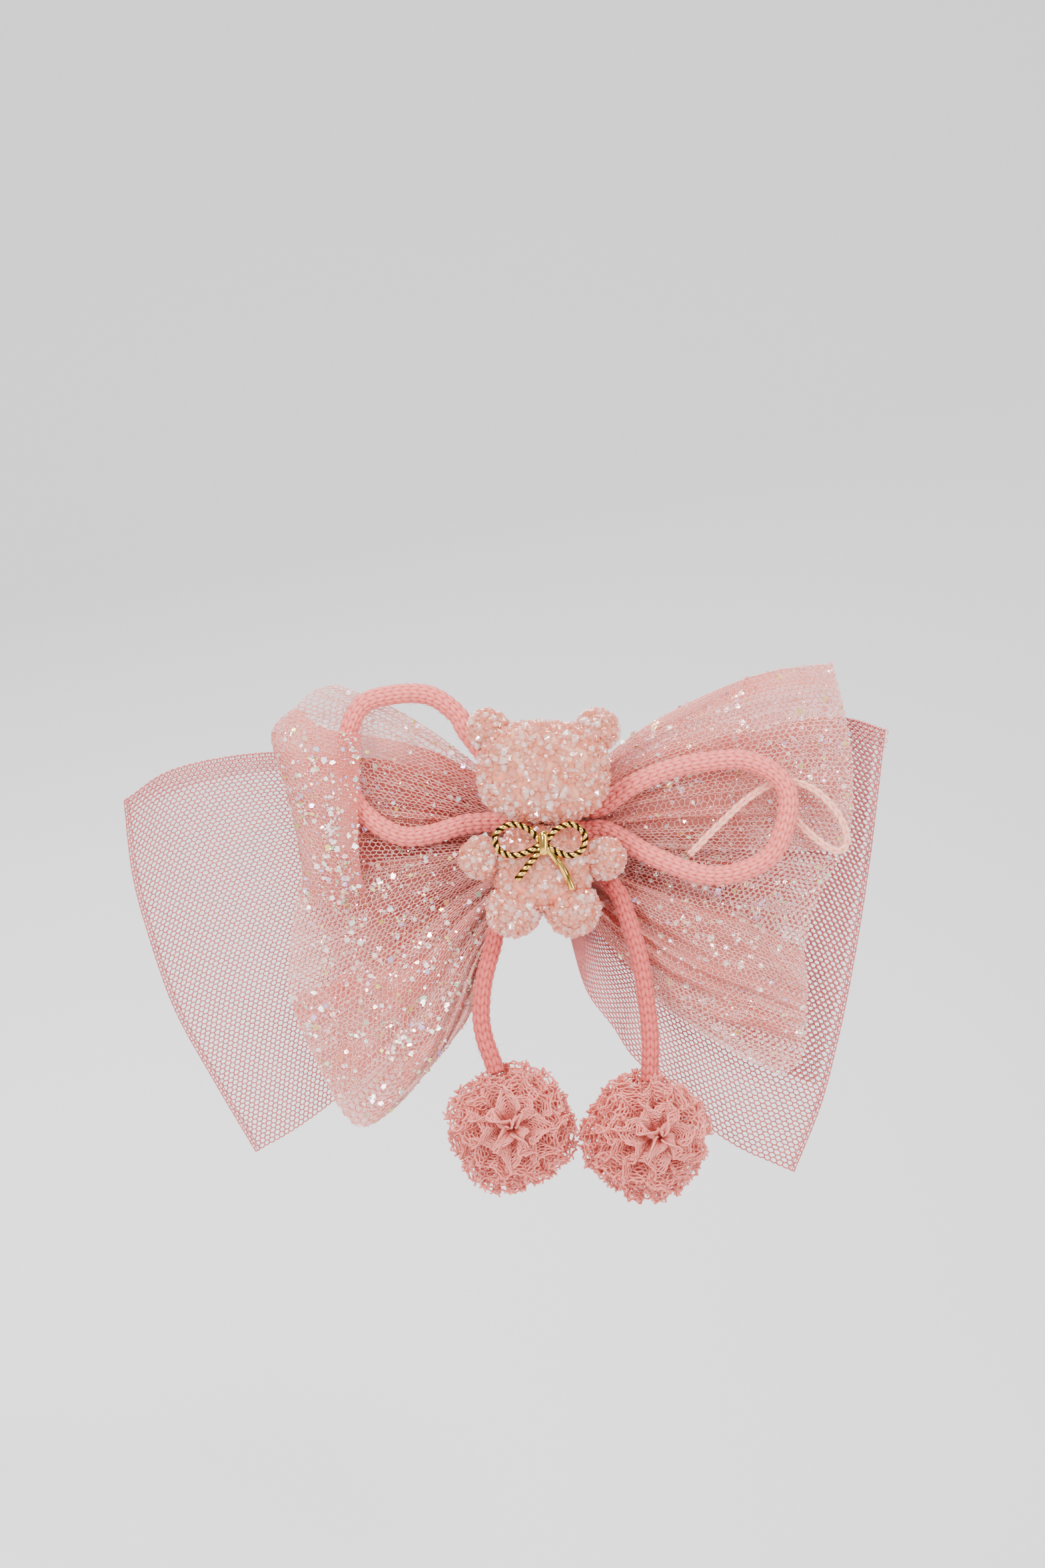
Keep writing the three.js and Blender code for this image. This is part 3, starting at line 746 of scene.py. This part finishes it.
KNIT = {"wales": 7, "course": 1.7}
TAIL_KNIT = {"wales": 6, "course": 1.7}
CHAIN_KNIT = {"wales": 2, "course": 1.8, "leg": 0.44, "turn": math.pi / 2}


def add_cord(name, route, diameter, stitches, material):
    """A knitted cord with its loose fibres."""
    shape = Shape()
    path, length = knitted(shape, route, diameter, **stitches)
    fuzz(shape, path, diameter * 0.44, int(14 * length), np.random.default_rng(SEED + len(name)))
    piece = shape.build(name, [material])
    as_metres(path, 2)[0]
    as_metres(path)
    return piece


def make_cords():
    """The two loops and the thin chain."""
    for side, route in (("left", LOOP_LEFT), ("right", LOOP_RIGHT)):
        loop = add_cord(f"knitted_loop_{side}", route, CORD, KNIT, CORD_YARN)
        settle(loop, [f"cord_loop_{side}"])
    chain = add_cord("crocheted_chain_loop", CHAIN_LOOP, THIN_CORD, CHAIN_KNIT, CHAIN_YARN)
    settle(chain, ["chain_cord_loop"])


make_cords()


# Pompoms


# The polar angle where each ruffled strip reaches the surface, in degrees, and where on the axis it
# starts, in radii
RUFFLES = [(13, 0.74), (33, 0.5), (53, 0.28), (72, 0.1), (90, 0), (108, -0.1), (127, -0.28), (147, -0.5),
           (167, -0.74)]
POMPOM_RADIUS = 11.9
STRIP_WIDTH = 10.0
LEAST_GIRTH = 0.3      # the strips near the poles are as long as one at this girth
PICOT = 1.15           # length of one small loop on a strip's edge


def ruffle(centre, axes, polar, start, rng):
    """The surface of one strip, u being round the ball and v from its root to its edge: a cone whose
    edge is at polar angle polar + (0.19 * sin(waves * turn) + 0.05 * sin(2.7 * waves * turn)), the
    cone's wall bowing by 1.1 mm."""
    girth = math.sin(polar)
    waves = max(4, int(round(13 * girth)))
    phase, size, wobble = rng.random() * TAU, rng.uniform(0.95, 1.03), rng.random(4) * TAU

    def wall(u, v):
        a = TAU * u
        turn = waves * a + phase + 1.1 * np.sin(3 * a + wobble[3])
        reach = 0.12 + 0.88 * v
        p = polar + (0.19 * np.sin(turn) + 0.05 * np.sin(2.7 * waves * a + wobble[0])) * reach
        a = a + 0.11 / max(girth, LEAST_GIRTH) * np.sin(2 * turn + 0.5) * reach
        radius = POMPOM_RADIUS * size * (1 + 0.05 * np.sin(4 * a + wobble[2]) + 0.03 * np.cos(turn))
        rim = np.stack([np.sin(p) * np.cos(a), np.sin(p) * np.sin(a), np.cos(p)], axis=-1)
        root = np.array([0, 0, start * POMPOM_RADIUS])
        bow = np.sin(np.pi * reach)[..., None] * np.array([0, 0, 1.1 * np.sign(start)])
        return centre + (root + (rim * radius[..., None] - root) * reach[..., None] + bow) @ axes
    return wall


def pompom(side):
    """A ball of gathered net strips, each with small picots along its edge, and its bound middle."""
    rng = np.random.default_rng(SEED + len(side))
    centre = np.array(POMPOMS[side], dtype=float)
    facing = unit(np.array([0.0 if side == "left" else 0.22, -0.9, 0.06]))
    first = unit(np.cross(facing, [0, 0, 1]))
    axes = np.stack([first, np.cross(facing, first), facing])
    shape = Shape()
    for degrees, start in RUFFLES:
        polar = math.radians(degrees)
        wall = ruffle(centre, axes, polar, start, rng)
        length = TAU * POMPOM_RADIUS * max(math.sin(polar), LEAST_GIRTH) * 1.75
        # the tint rises from the strip's root to its edge: painted shade deep in the ball and painted
        # highlight towards the edges
        net(shape, wall, (length, STRIP_WIDTH), 1.25, 0.35, rise=0.62,
            tint=lambda u, v: 0.2 + 0.75 * v ** 1.3, uneven=0.07)
        rim = np.linspace(0, 1, int(length / 0.3))
        loops = np.sin(np.arange(len(rim)) * 0.3 * TAU / PICOT)
        picot = 1.0 + 0.045 * loops + 0.012 * rng.normal(size=len(rim))
        # the picots in the lightest colour: painted highlight on the rims
        edge_threads(shape, wall, rim, picot, 0.38, tint=1.0)
    piece = shape.build(f"net_pompom_{side}", [RUFFLE_THREAD])
    return piece, pompom_core(side, centre, POMPOM_RADIUS * 0.52)


def pompom_core(side, centre, radius):
    """The bound middle of a pompom: a ball of folded net, ribbed where the strips are drawn in."""
    shape = Shape()
    squared_ball(shape, centre, np.array([radius, radius, radius]), 2, 0.06)
    return shape.build(f"pompom_core_{side}", [CORE_YARN])


def make_tails():
    """Each tail's cord, with its pompom and the thread that ties it."""
    for side, points in TAILS.items():
        fluff, core = pompom(side)
        settle(fluff, [f"pompom_{side}"], f"pompom_end_{side}")
        settle(core, [f"pompom_tie_{side}"], f"pompom_end_{side}")
        cord = add_cord(f"knitted_tail_{side}", points, TAIL_CORD, TAIL_KNIT, SHADED_TAIL_YARN)
        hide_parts(f"cord_tail_root_{side}", f"cord_tail_{side}")
        start, end = (tuple(c * MM for c in point) for point in BENDS[side])
        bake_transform(cord)
        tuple(start)
        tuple(end)


make_tails()


# Stiff mesh wings


def wing_depth(base, sway, ridge):
    """Depth of a stiff wing: nearly flat, with a slow sway and a few soft ridges from the middle."""
    def depth(u, v):
        ridges = np.sin(TAU * (1.6 * v + 0.2)) * np.sin(np.pi * u)
        return base + sway * np.sin(2.2 * u + 1.3) * (v - 0.5) + ridge * ridges
    return depth


def make_wing(name, node, plane, depth, size, hem, doubled):
    """A wing of hexagonal mesh, doubled over the inner share of its width that is given, with a hem
    along the top and a tighter selvage outside."""
    surface = in_space(plane, depth)
    cell, rise, thread, border = 1.2, 0.68, 0.28, 0.22
    shape = Shape()

    # lighter towards the gathered middle, deeper outwards: painted light that offsets the shade under the bow
    def paler(u, v):
        return 0.8 - 0.5 * u

    def second(u, v):
        return surface((0.25 + 0.75 * u) * doubled, v * 0.8 + 0.01) + [0.3, 0.9, 0.5]

    def hem_surface(u, v):
        return surface(u, v * hem) + [cell / 2, -0.4, 0]

    net(shape, surface, size, cell, thread, rise=rise, uneven=0.03, tint=paler)
    net(shape, second, (size[0] * doubled * 0.75, size[1] * 0.8), cell, thread * 0.8, rise=rise,
        uneven=0.03, tint=paler)
    net(shape, hem_surface, (size[0], size[1] * hem), cell, thread * 0.7, rise=rise,
        tint=lambda u, v: 0.9 + 0 * u)
    line = np.linspace(0, 1, 180)
    for inset in (0.0, 0.006, 0.012):
        edge_threads(shape, surface, 1 - inset + 0 * line, line, border)
    edge_threads(shape, surface, line, 0.003 + 0 * line, border)
    piece = shape.build(name, [STIFF_THREAD])
    settle(piece, [node])


def make_wings():
    """Both wings are one length of mesh drawn in at the middle."""
    left = coons(
        [(-2.5, 7), (-12, 10.5), (-25, 14.8), (-51, 17.5), (-71.5, 14.5), (-82.3, 8)],
        [(-2.5, -7), (-6, -12), (-12, -24), (-24, -37), (-45, -54), (-56.3, -61)],
        [(-82.3, 8), (-80.7, -6), (-77.6, -18), (-72.3, -33), (-64.6, -47), (-56.3, -61)])
    make_wing("stiff_mesh_wing_left", "mesh_wing_left", left, wing_depth(MESH_Y, 1.6, 0.7), (84, 78),
              hem=0.05, doubled=0.5)
    right = coons(
        [(2.5, 7), (14, 12), (32, 19.5), (50, 23.6), (59.2, 24.2), (67.2, 21.8)],
        [(2.5, -7), (5, -17), (8.5, -29), (13.8, -36.4), (19, -43.6), (35, -58), (49.3, -65)],
        [(67.2, 21.8), (64, -5), (60.7, -25.6), (57.7, -40), (54.5, -52), (49.3, -65)])
    make_wing("stiff_mesh_wing_right", "mesh_wing_right", right, wing_depth(MESH_Y, -1.6, 0.7), (72, 88),
              hem=0.04, doubled=0.97)


make_wings()


# Organza lining and gathered middle


def lining(plane, shift, phase):
    """One layer of a gathered lining, shift in front of or behind its middle."""
    return in_space(plane, lambda u, v: LINING_Y + shift + pleats(u, v, 9, 0.75, phase))


def make_linings():
    """Gathered organza behind the tulle, its deep red partly painted shade of the loops' insides: dense in
    the gathers, and thinning out towards its edge.
    """
    fans = {
        "left": coons([(-2.5, 6), (-20, 17), (-40, 22)], [(-2.5, -6), (-8, -14), (-22, -30)],
                      [(-40, 22), (-45, 4), (-44, -14), (-37, -32), (-22, -30)]),
        "right": coons([(2.5, 6), (24, 19), (48, 26)], [(2.5, -6), (18, -22), (38, -33)],
                       [(48, 26), (50, 4), (47, -16), (38, -33)]),
    }

    def fade(u, v):
        return 1.0 - 0.8 * np.clip((u - 0.35) / 0.65, 0, 1) ** 1.1

    for side, plane in fans.items():
        shape = Shape()
        for shift, phase in ((0.7, 0.3), (-0.6, 1.9)):
            sheet_grid(shape, lining(plane, shift, phase), 60, 200, tint=fade)
        piece = shape.build(f"organza_fan_{side}", [ORGANZA_AND_PAINTED_SHADE])
        settle(piece, [f"organza_lining_{side}"])


# Glitter tulle


RIMS = {
    None: lambda u, v: 0 * u,
    "top": lambda u, v: np.exp(-(v / 0.08) ** 2),
    "bottom": lambda u, v: np.exp(-((1 - v) / 0.07) ** 2),
    "inner": lambda u, v: np.exp(-(u / 0.08) ** 2),
}


def haze(surface, density, rim):
    """The haze of a layer's finer folds: its surface, just behind the net, and how dense it is, which
    is more on the flanks of the folds and along a rim, and less towards the outer edge."""
    def behind(u, v):
        return surface(u, v) + [0, 0.25, 0]

    def cover(u, v):
        away = 1 - np.abs(surface_normals(surface, u, v)[..., 1])
        thinned = 1 - 0.45 * np.clip((u - 0.3) / 0.7, 0, 1) ** 1.5
        return density * thinned * (0.8 + 0.9 * away) + 0.8 * RIMS[rim](u, v)
    return behind, cover


def tulle_piece(name, node, layers, seed):
    """One lobe: layers of hexagonal tulle with flakes on each, and behind some the haze of the finer
    folds. A layer is its surface, its flat size, how dense its haze is, or 0, which of its edges is a
    rolled one, where the haze is denser, and how thickly its flakes lie."""
    rng = np.random.default_rng(SEED + seed)
    shape = Shape()
    for surface, size, density, rim, glitter in layers:
        # the net's tint rises from the gathered middle outwards: painted shade, deeper, in the gathers and
        # lighter cloth towards the outer edge
        net(shape, surface, size, 1.26, 0.175, tint=lambda u, v: 0.1 + 0.85 * np.sqrt(u), uneven=0.09)
        flakes(shape, surface, int(1.5 * glitter * size[0] * size[1] / 100), 1.15, rng, 1)
        if density:
            behind, cover = haze(surface, density, rim)
            sheet_grid(shape, behind, 50, 140, 2, cover)
    piece = shape.build(name, [TULLE_THREAD, FLAKE, TULLE_HAZE])
    settle(piece, [node])


def make_tulle():
    """The four lobes, each a loop of tulle with a back and one or two front layers."""
    top_left = [(-2.5, 7), (-19.5, 20), (-30, 26.4), (-40.4, 30.7)]
    outer_left = [(-40.4, 30.7), (-43.8, 29.9), (-46.4, 28.3), (-48.3, 26.2), (-51.4, 23.8), (-53, 21.2),
                  (-52.6, 17.8), (-50.4, 10.2), (-48.2, 1.4), (-47, -6)]
    upper_left = coons(top_left, [(-2.5, 0), (-20, -3), (-46, -6)], outer_left)
    cut = along([(-35.4, 21), (-35.7, 12), (-35.9, 5), (-35.6, -4), (-34, -13)])
    rim = along([*outer_left[3:], (-47.6, -13)])

    def flap_place(u, v):
        bulge = np.stack([0 * u, 1.6 * np.sin(np.pi * u) * (1 - v)], axis=-1)
        return cut(v) + u[..., None] * (rim(v) - cut(v)) - bulge

    def flap(base, rise, wave, across, down):
        """The cloth folded over to the front: it stands off its rim and sinks back at its lower end."""
        def depth(u, v):
            sink = 1 - np.clip((v - 0.62) / 0.38, 0, 1) ** 2
            swell = rise * np.sqrt(np.clip(1 - u ** 3, 0, 1)) * sink
            return base - swell + wave * np.sin(down * v + across * u)
        return in_space(flap_place, depth)

    layers = [
        (lobe(upper_left, TULLE_Y, 0.8, 7, 1.2, 0.4), (50, 44), 0.55, None, 14),
        (lobe(upper_left, TULLE_Y - 1.4, 0.2, 8, 0.9, 1.7), (50, 44), 0, None, 8),
        (flap(-8.9, 6.6, 0.5, 4, 9), (16, 50), 1.5, "inner", 45),
        (flap(-8.7, 5.6, 0.6, 3, 11), (16, 50), 0, None, 25),
    ]
    tulle_piece("glitter_tulle_upper_left", "tulle_loop_upper_left", layers, 1)

    side_low = [(-2.5, -7), (-9.2, -18), (-13.9, -33), (-19.6, -40.7)]
    tip = [(-44.6, -42), (-37, -55), (-29, -52), (-19.6, -40.7)]
    lower_left = coons([(-2.5, 0), (-25, -3), (-47, -6)], side_low,
                       [(-47, -6), (-49, -17), (-49.5, -30), *tip])
    lower_front = coons([(-2.5, -3), (-15, -10), (-28.6, -19.8), (-40.8, -26.7), (-49.5, -30.5)], side_low,
                        [(-49.5, -30.5), *tip])
    layers = [
        (lobe(lower_left, TULLE_Y, 1.0, 7, 1.2, 2.1), (56, 62), 0.9, None, 14),
        (lobe(lower_left, TULLE_Y - 1.6, 1.4, 7, 1.1, 0.8), (56, 62), 0, None, 14),
        (lobe(lower_front, TULLE_Y - 2.6, 2.6, 5, 1.7, 0.2, "top"), (56, 46), 1.1, "top", 26),
        (lobe(lower_front, TULLE_Y - 3.4, 1.8, 6, 1.2, 1.4, "top"), (56, 46), 0, None, 20),
    ]
    tulle_piece("glitter_tulle_lower_left", "tulle_lobe_lower_left", layers, 2)

    upper_right = coons([(2.5, 7), (14.8, 18.7), (25.6, 25.6), (37.8, 31.1), (46.9, 33.7), (56.4, 34.8)],
                        [(2.5, 0), (30, -1.5), (59.2, -2)],
                        [(56.4, 34.8), (59.2, 23.4), (60.3, 15.7), (60.3, 6), (59.2, -2)])
    layers = [
        (lobe(upper_right, TULLE_Y, 0.8, 7, 1.2, 0.9), (62, 44), 0.7, None, 16),
        (lobe(upper_right, TULLE_Y - 1.6, 1.6, 6, 1.1, 2.3), (62, 44), 0, None, 20),
        (lobe(upper_right, TULLE_Y - 2.4, 2.6, 5, 1.3, 0.1), (62, 44), 0.8, "top", 26),
    ]
    tulle_piece("glitter_tulle_upper_right", "tulle_lobe_upper_right", layers, 3)

    bottom = [(2.5, -7), (14, -21), (22.5, -31.5), (35, -40.2), (47, -46)]
    lower_right = coons([(2.5, 0), (30, -0.5), (58, -3)], bottom,
                        [(58, -3), (53, -13), (51, -23), (51.6, -30), (51, -41), (47, -46)])
    front_right = coons([(2.5, -2), (20, -8), (38, -14), (51, -22)],
                        [(2.5, -7), (12, -19), (22.5, -29), (32, -34), (41.6, -36.8), (50, -39.4)],
                        [(51, -22), (51.6, -30), (50, -39.4)])
    layers = [
        (lobe(lower_right, TULLE_Y, 0.8, 7, 1.2, 1.2), (62, 50), 0.85, None, 14),
        (lobe(lower_right, TULLE_Y - 1.6, 1.6, 7, 1.1, 2.6), (62, 50), 0, None, 20),
        (lobe(front_right, TULLE_Y - 2.8, 2.4, 5, 1.7, 0.5, "bottom"), (62, 34), 1.0, "bottom", 26),
    ]
    tulle_piece("glitter_tulle_lower_right", "tulle_lobe_lower_right", layers, 4)


make_linings()
make_tulle()


# Bear


STONE_POINTS = 18      # three rings of six
# Each ball's middle, its radii, the power that squares it off and how many stones are tried on it
BALLS = {
    "bear_head": ((0, BEAR_Y, 13.6), (12.6, 8, 9.7), 2.7, 1700),
    "bear_torso": ((0, BEAR_Y + 1.5, -5), (9.4, 6.5, 8.6), 2.7, 820),
    "bear_ear_left": ((-10.6, BEAR_Y + 0.5, 21.5), (4.2, 3.4, 4.2), 2, 250),
    "bear_ear_right": ((10.4, BEAR_Y + 0.5, 21.5), (4.2, 3.4, 4.2), 2, 250),
    "bear_arm_left": ((-11.9, BEAR_Y + 0.6, -3), (4.2, 4.2, 4.2), 2, 280),
    "bear_arm_right": ((11.7, BEAR_Y + 0.6, -3), (4.2, 4.2, 4.2), 2, 280),
    "bear_leg_left": ((-5.7, BEAR_Y, -13), (5.3, 5.3, 5.3), 2, 430),
    "bear_leg_right": ((5.7, BEAR_Y, -12.8), (5.3, 5.3, 5.3), 2, 430),
}


def stones(shape, name, rng):
    """Cut stones set over a ball in a golden-angle spiral: six-sided, with a flat table, a crown and
    a pointed base, each turned and tipped a little. Stones that would sit inside a neighbour are left out."""
    centre, radii, power, count = BALLS[name]
    centre, radii = np.asarray(centre, dtype=float), np.asarray(radii, dtype=float)
    k = np.arange(count) + 0.5
    polar, turn = np.arccos(1 - 2 * k / count), k * math.pi * (3 - math.sqrt(5))
    direction = np.stack([np.sin(polar) * np.cos(turn), np.sin(polar) * np.sin(turn), np.cos(polar)], axis=-1)
    direction = unit(direction + rng.normal(0, 0.05, direction.shape))
    at = centre + squared(direction, power) * (radii - 0.45)
    for other, (other_centre, other_radii, other_power, _) in BALLS.items():
        if other != name:
            at_other = (at - other_centre) / np.asarray(other_radii)
            keep = (np.abs(at_other) ** other_power).sum(axis=1) > 0.92
            at, direction = at[keep], direction[keep]
    normal = unit(unit(direction / radii) + rng.normal(0, 0.45, at.shape))
    first = unit(np.cross(normal, rng.normal(size=at.shape)))
    second = np.cross(normal, first)
    size = 0.48 + 0.55 * rng.random(len(at)) ** 1.5
    angles = np.arange(6) * TAU / 6
    table = rng.uniform(0.05, 0.35, len(at))
    levels = [(table, 0.95, 0), (1.0, 0.1, TAU / 12), (0.3, -0.7, 0)]
    rings = []
    for width, height, twist in levels:
        ring = (first[:, None] * np.cos(angles + twist)[None, :, None]
                + second[:, None] * np.sin(angles + twist)[None, :, None]) * (width * size)[:, None, None]
        rings.append(at[:, None] + ring + normal[:, None] * (height * size)[:, None, None])
    verts = np.concatenate(rings, axis=1)
    total = len(at)
    base = np.arange(total)[:, None, None] * STONE_POINTS
    j = np.arange(6)
    n = (j + 1) % 6
    crown = [np.stack([j, j + 6, n], axis=1), np.stack([n, j + 6, n + 6], axis=1)]
    pavilion = [np.stack([j + 6, j + 12, n + 12], axis=1), np.stack([j + 6, n + 12, n + 6], axis=1)]
    triangles = (base + np.concatenate(crown + pavilion)[None]).reshape(-1, 3)
    tables = base[:, 0] + j[None]
    bottoms = base[:, 0] + (STONE_POINTS - 1 - j)[None]
    tint = np.repeat(rng.random(total), STONE_POINTS)
    shape.add(verts.reshape(-1, 3), triangles, 1, tint)
    shape.add_faces(np.concatenate([tables, bottoms]), total * STONE_POINTS, 1)


def make_bear():
    """Eight resin balls covered with stones."""
    for number, (name, (centre, radii, power, _)) in enumerate(BALLS.items()):
        rng = np.random.default_rng(SEED * 3 + number)
        shape = Shape()
        squared_ball(shape, centre, np.asarray(radii) - 0.5, power, 0.02)
        stones(shape, name, rng)
        piece = shape.build(f"crystal_{name}", [RESIN, CRYSTAL], smooth=False)
        settle(piece, [name])


make_bear()


# Gold bow


def rope_wire(shape, points, diameter, pitch, depth):
    """Twisted wire: a tube whose two-lobed section turns once in each pitch."""
    length = path_length(smooth_curve(points, 300))
    steps = int(length / 0.12) + 2
    path = smooth_curve(points, steps)
    sides = 16
    angle = np.arange(sides)[None] * TAU / sides
    run = np.linspace(0, length, steps)[:, None]
    ridge = np.abs(np.cos(angle - math.pi * run / pitch)) ** 0.7
    taper = np.clip(np.minimum(run, length - run) / 0.25, 0.3, 1) ** 0.5
    verts, quads, caps = sweep(path, diameter / 2 * (1 - depth * (1 - ridge)) * taper, sides)
    # the tint falls in the grooves: for the gold it paints shade and dark reflections there
    shape.add(verts, quads, 0, (1 - min(1, 3 * depth) * (1 - ridge)).ravel())
    shape.add_faces(caps, len(verts))


def make_gold_bow():
    """Two rope loops, a rope tail, a nearly smooth tail and the band across the knot."""
    loop = [(0.6, 0.2), (3, 2.7), (6.4, 3.5), (9.1, 1.6), (8.6, -1.2), (6, -2.4), (3, -1.7), (0.6, -0.4)]
    rope_tail = [(-0.2, -0.6), (-1.6, -2.6), (-3.2, -4.6), (-5.2, -7.2)]
    smooth_tail = [(0.2, -0.6), (2, -2.6), (4, -5.4), (5.6, -9)]
    band = [(0, GOLD_Y - 0.5, -2.1), (0, GOLD_Y - 0.9, -1.2), (0, GOLD_Y - 0.9, 1.2), (0, GOLD_Y - 0.5, 2.1)]
    shape = Shape()
    for across in (0.86, -1):
        rope_wire(shape, [(across * x, GOLD_Y, z) for x, z in loop], WIRE * 0.92, 1.5, 0.34)
    for tail, pitch, groove in ((rope_tail, 1.5, 0.3), (smooth_tail, 4.0, 0.12)):
        rope_wire(shape, [(x, GOLD_Y, z) for x, z in tail], WIRE * 0.95, pitch, groove)
    rope_wire(shape, band, 1.7, 30, 0.05)
    settle(shape.build("gold_rope_bow", [GOLD]), ["gold_wire_bow"])


make_gold_bow()


# Barrette and backing


STRIP_THICK = 0.8
STRIP_HALF_LENGTH = 39
KNOT_ROUTES = [
    [(-4.6, -12.8, 8.4), (-2, -12.9, 5.8), (1.5, -12.9, 3.4), (5, -12.9, 2.4)],
    [(-5, -13, 3.6), (-2, -13, 2.6), (1.5, -13.1, 4), (4.8, -12.9, 6)],
    [(-3.2, -12.9, -3.8), (-1, -13, -0.8), (2, -13, -0.8), (5, -12.9, -2.2)],
]
STEEL_NODES = ("barrette_base", "hinge_pin", "closing_arm", "tension_leaf", "catch_post",
               "catch_prong_upper", "catch_prong_lower")


def box_of(node):
    """The low and the high corner of a CAD node, in millimetres."""
    return (np.array(corner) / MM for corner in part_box(node))


def felt_pad(name, node, power=6):
    """A pressed felt pad that fills the place of its CAD solid."""
    low, high = box_of(node)
    shape = Shape()
    squared_ball(shape, (low + high) / 2, (high - low) / 2, power, 0.01)
    settle(shape.build(name, [FELT]), [node])


def strip_middle(x, low_y):
    """Depth of the felt strip's middle, which follows the barrette's curve."""
    return low_y + STRIP_THICK / 2 + BASE_RADIUS - np.sqrt(BASE_RADIUS ** 2 - x ** 2)


def make_strip():
    """The felt strip under the barrette: a flat rounded section carried along the barrette's curve,
    with a row of stitches near each long edge, on both faces."""
    low, high = box_of("backing_strip")
    lengths, sides = 90, 24
    x = np.linspace(low[0], high[0], lengths)[:, None]
    a = np.arange(sides)[None] * TAU / sides
    flat = np.sign(np.cos(a)) * np.abs(np.cos(a)) ** 0.35
    thin = np.sign(np.sin(a)) * np.abs(np.sin(a)) ** 0.8
    end = np.clip((STRIP_HALF_LENGTH - np.abs(x)) / 3, 0, 1) ** 0.5
    width = (high[2] - low[2]) / 2 * (0.7 + 0.3 * end)
    depth = strip_middle(x, low[1]) + STRIP_THICK / 2 * thin * (0.2 + 0.8 * end)
    points = np.stack([x + 0 * a, depth, width * flat], axis=-1)
    index = np.arange(lengths * sides).reshape(lengths, sides)
    shape = Shape()
    shape.add(points.reshape(-1, 3), ring_quads(index), 0)
    shape.add_faces(np.stack([index[0, ::-1], index[-1]]), index.size)
    start = np.arange(-36, 35, 3.0)
    number = np.arange(len(start))
    for z in (-5.4, 5.4):
        for y in (-0.42, 0.42):
            ends = [np.stack([at, strip_middle(at, low[1]) + y, 0 * at + z], axis=-1)
                    for at in (start, start + 2)]
            pairs = np.stack([number, number + len(start)], axis=1)
            out = np.tile([0.0, np.sign(y), 0.0], (2 * len(start), 1))
            shape.add(*threads(np.concatenate(ends), out, pairs, 0.4, 0.3), 1, 0.6)
    settle(shape.build("stitched_felt_strip", [FELT, CORD_YARN]), ["backing_strip"])


def make_wrap():
    """The band of cloth round the gathered middle: a thin oval section carried round a rounded
    rectangle in the YZ plane, with creases that wander round it."""
    low, high = box_of("gather_wrap")
    turns, sides = 160, 48
    a, b = np.meshgrid(np.arange(turns) * TAU / turns, np.arange(sides) * TAU / sides, indexing="ij")
    across = (high[0] - low[0]) / 2 * np.cos(b)
    crease = (0.10 * np.sin(2.6 * across + 1.6 * np.sin(2 * a))
              + 0.06 * np.sin(5.3 * across + 2 * np.cos(3 * a)))
    thick = 0.30 * np.sin(b) + crease * np.abs(np.sin(b))
    ring = squared(np.stack([np.cos(a), np.sin(a)], axis=-1), 5)
    half = (high[1:] - low[1:]) / 2 - 0.4
    loop = ring * (half + thick[..., None]) + (high[1:] + low[1:]) / 2
    points = np.stack([across, loop[..., 0], loop[..., 1]], axis=-1)
    index = np.arange(turns * sides).reshape(turns, sides)
    around = np.concatenate([index, index[:1]])
    shape = Shape()
    shape.add(points.reshape(-1, 3), ring_quads(around), 0, 1.0)
    settle(shape.build("gathered_band", [BAND]), ["gather_wrap"])


def make_knot():
    """The stitched-down crossing of the cord's ends behind the bear: three short stretches of the
    same knitted cord."""
    shape = Shape()
    for route in KNOT_ROUTES:
        knitted(shape, route, CORD, **KNIT)
    settle(shape.build("stitched_cord_knot", [CORD_YARN]), ["cord_knot"])


def finish_clip():
    """The steel parts keep their CAD shape and get their metal."""
    for node in STEEL_NODES:
        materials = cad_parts[node].data.materials
        materials.clear()
        materials.append(STEEL)


felt_pad("felt_pad_behind_bear", "bear_backing")
make_strip()
make_wrap()
make_knot()
finish_clip()


# Stage


def make_stage():
    """A pale floor that curves up into a backdrop. Its far side is clear, so that the back of the bow is
    seen from behind it."""
    profile = [(-2.5, -0.2), (-0.5, -0.2), (0.1, -0.2), (0.6, -0.12), (1.0, 0.2), (1.2, 0.8), (1.25, 2.2)]
    steps, half_width = 120, 3000.0
    curve = smooth_curve(profile, steps) / MM
    points = np.array([[(x, y, z) for y, z in curve] for x in (-half_width, half_width)])
    index = np.arange(2 * steps).reshape(2, steps)
    quads = np.stack([index[0, :-1], index[1, :-1], index[1, 1:], index[0, 1:]], axis=1)
    material, tree, shader, output = new_material("painted_backdrop", Base_Color=srgb("#dfdde0"),
                                                  Roughness=0.9)
    side = add_node(tree, "ShaderNodeNewGeometry")
    clear = add_node(tree, "ShaderNodeBsdfTransparent")
    mix = add_node(tree, "ShaderNodeMixShader",
                   links={0: side.outputs["Backfacing"], 1: shader.outputs[0], 2: clear.outputs[0]})
    tree.links.new(mix.outputs[0], output.inputs[0])
    stage = add_mesh("stage", points.reshape(-1, 3), [quads], [material])


def make_lights():
    """Soft boxes on the left, on the right and above, one behind that comes through the cloth, and a
    greyer surround that the stones and the gold have something to show against."""
    add_light("key", (-0.7, -0.9, 0.8), 0.6, 20)
    add_light("fill", (0.95, -0.8, 0.1), 0.5, 10)
    add_light("top", (0.05, -0.25, 1.2), 0.7, 13.5)
    add_light("small_right", (0.35, -1.1, 0.5), 0.16, 8)
    add_light("small_left", (-0.45, -1.0, 0.15), 0.12, 5)
    add_light("through", (-0.2, 0.5, 0.5), 0.5, 7)
    world = bpy.data.worlds.new("studio")
    world.use_nodes = True
    world.node_tree.nodes["Background"].inputs[0].default_value = srgb("#f0f0f2")
    world.node_tree.nodes["Background"].inputs[1].default_value = 0.58
    bpy.context.scene.world = world


make_stage()
make_lights()
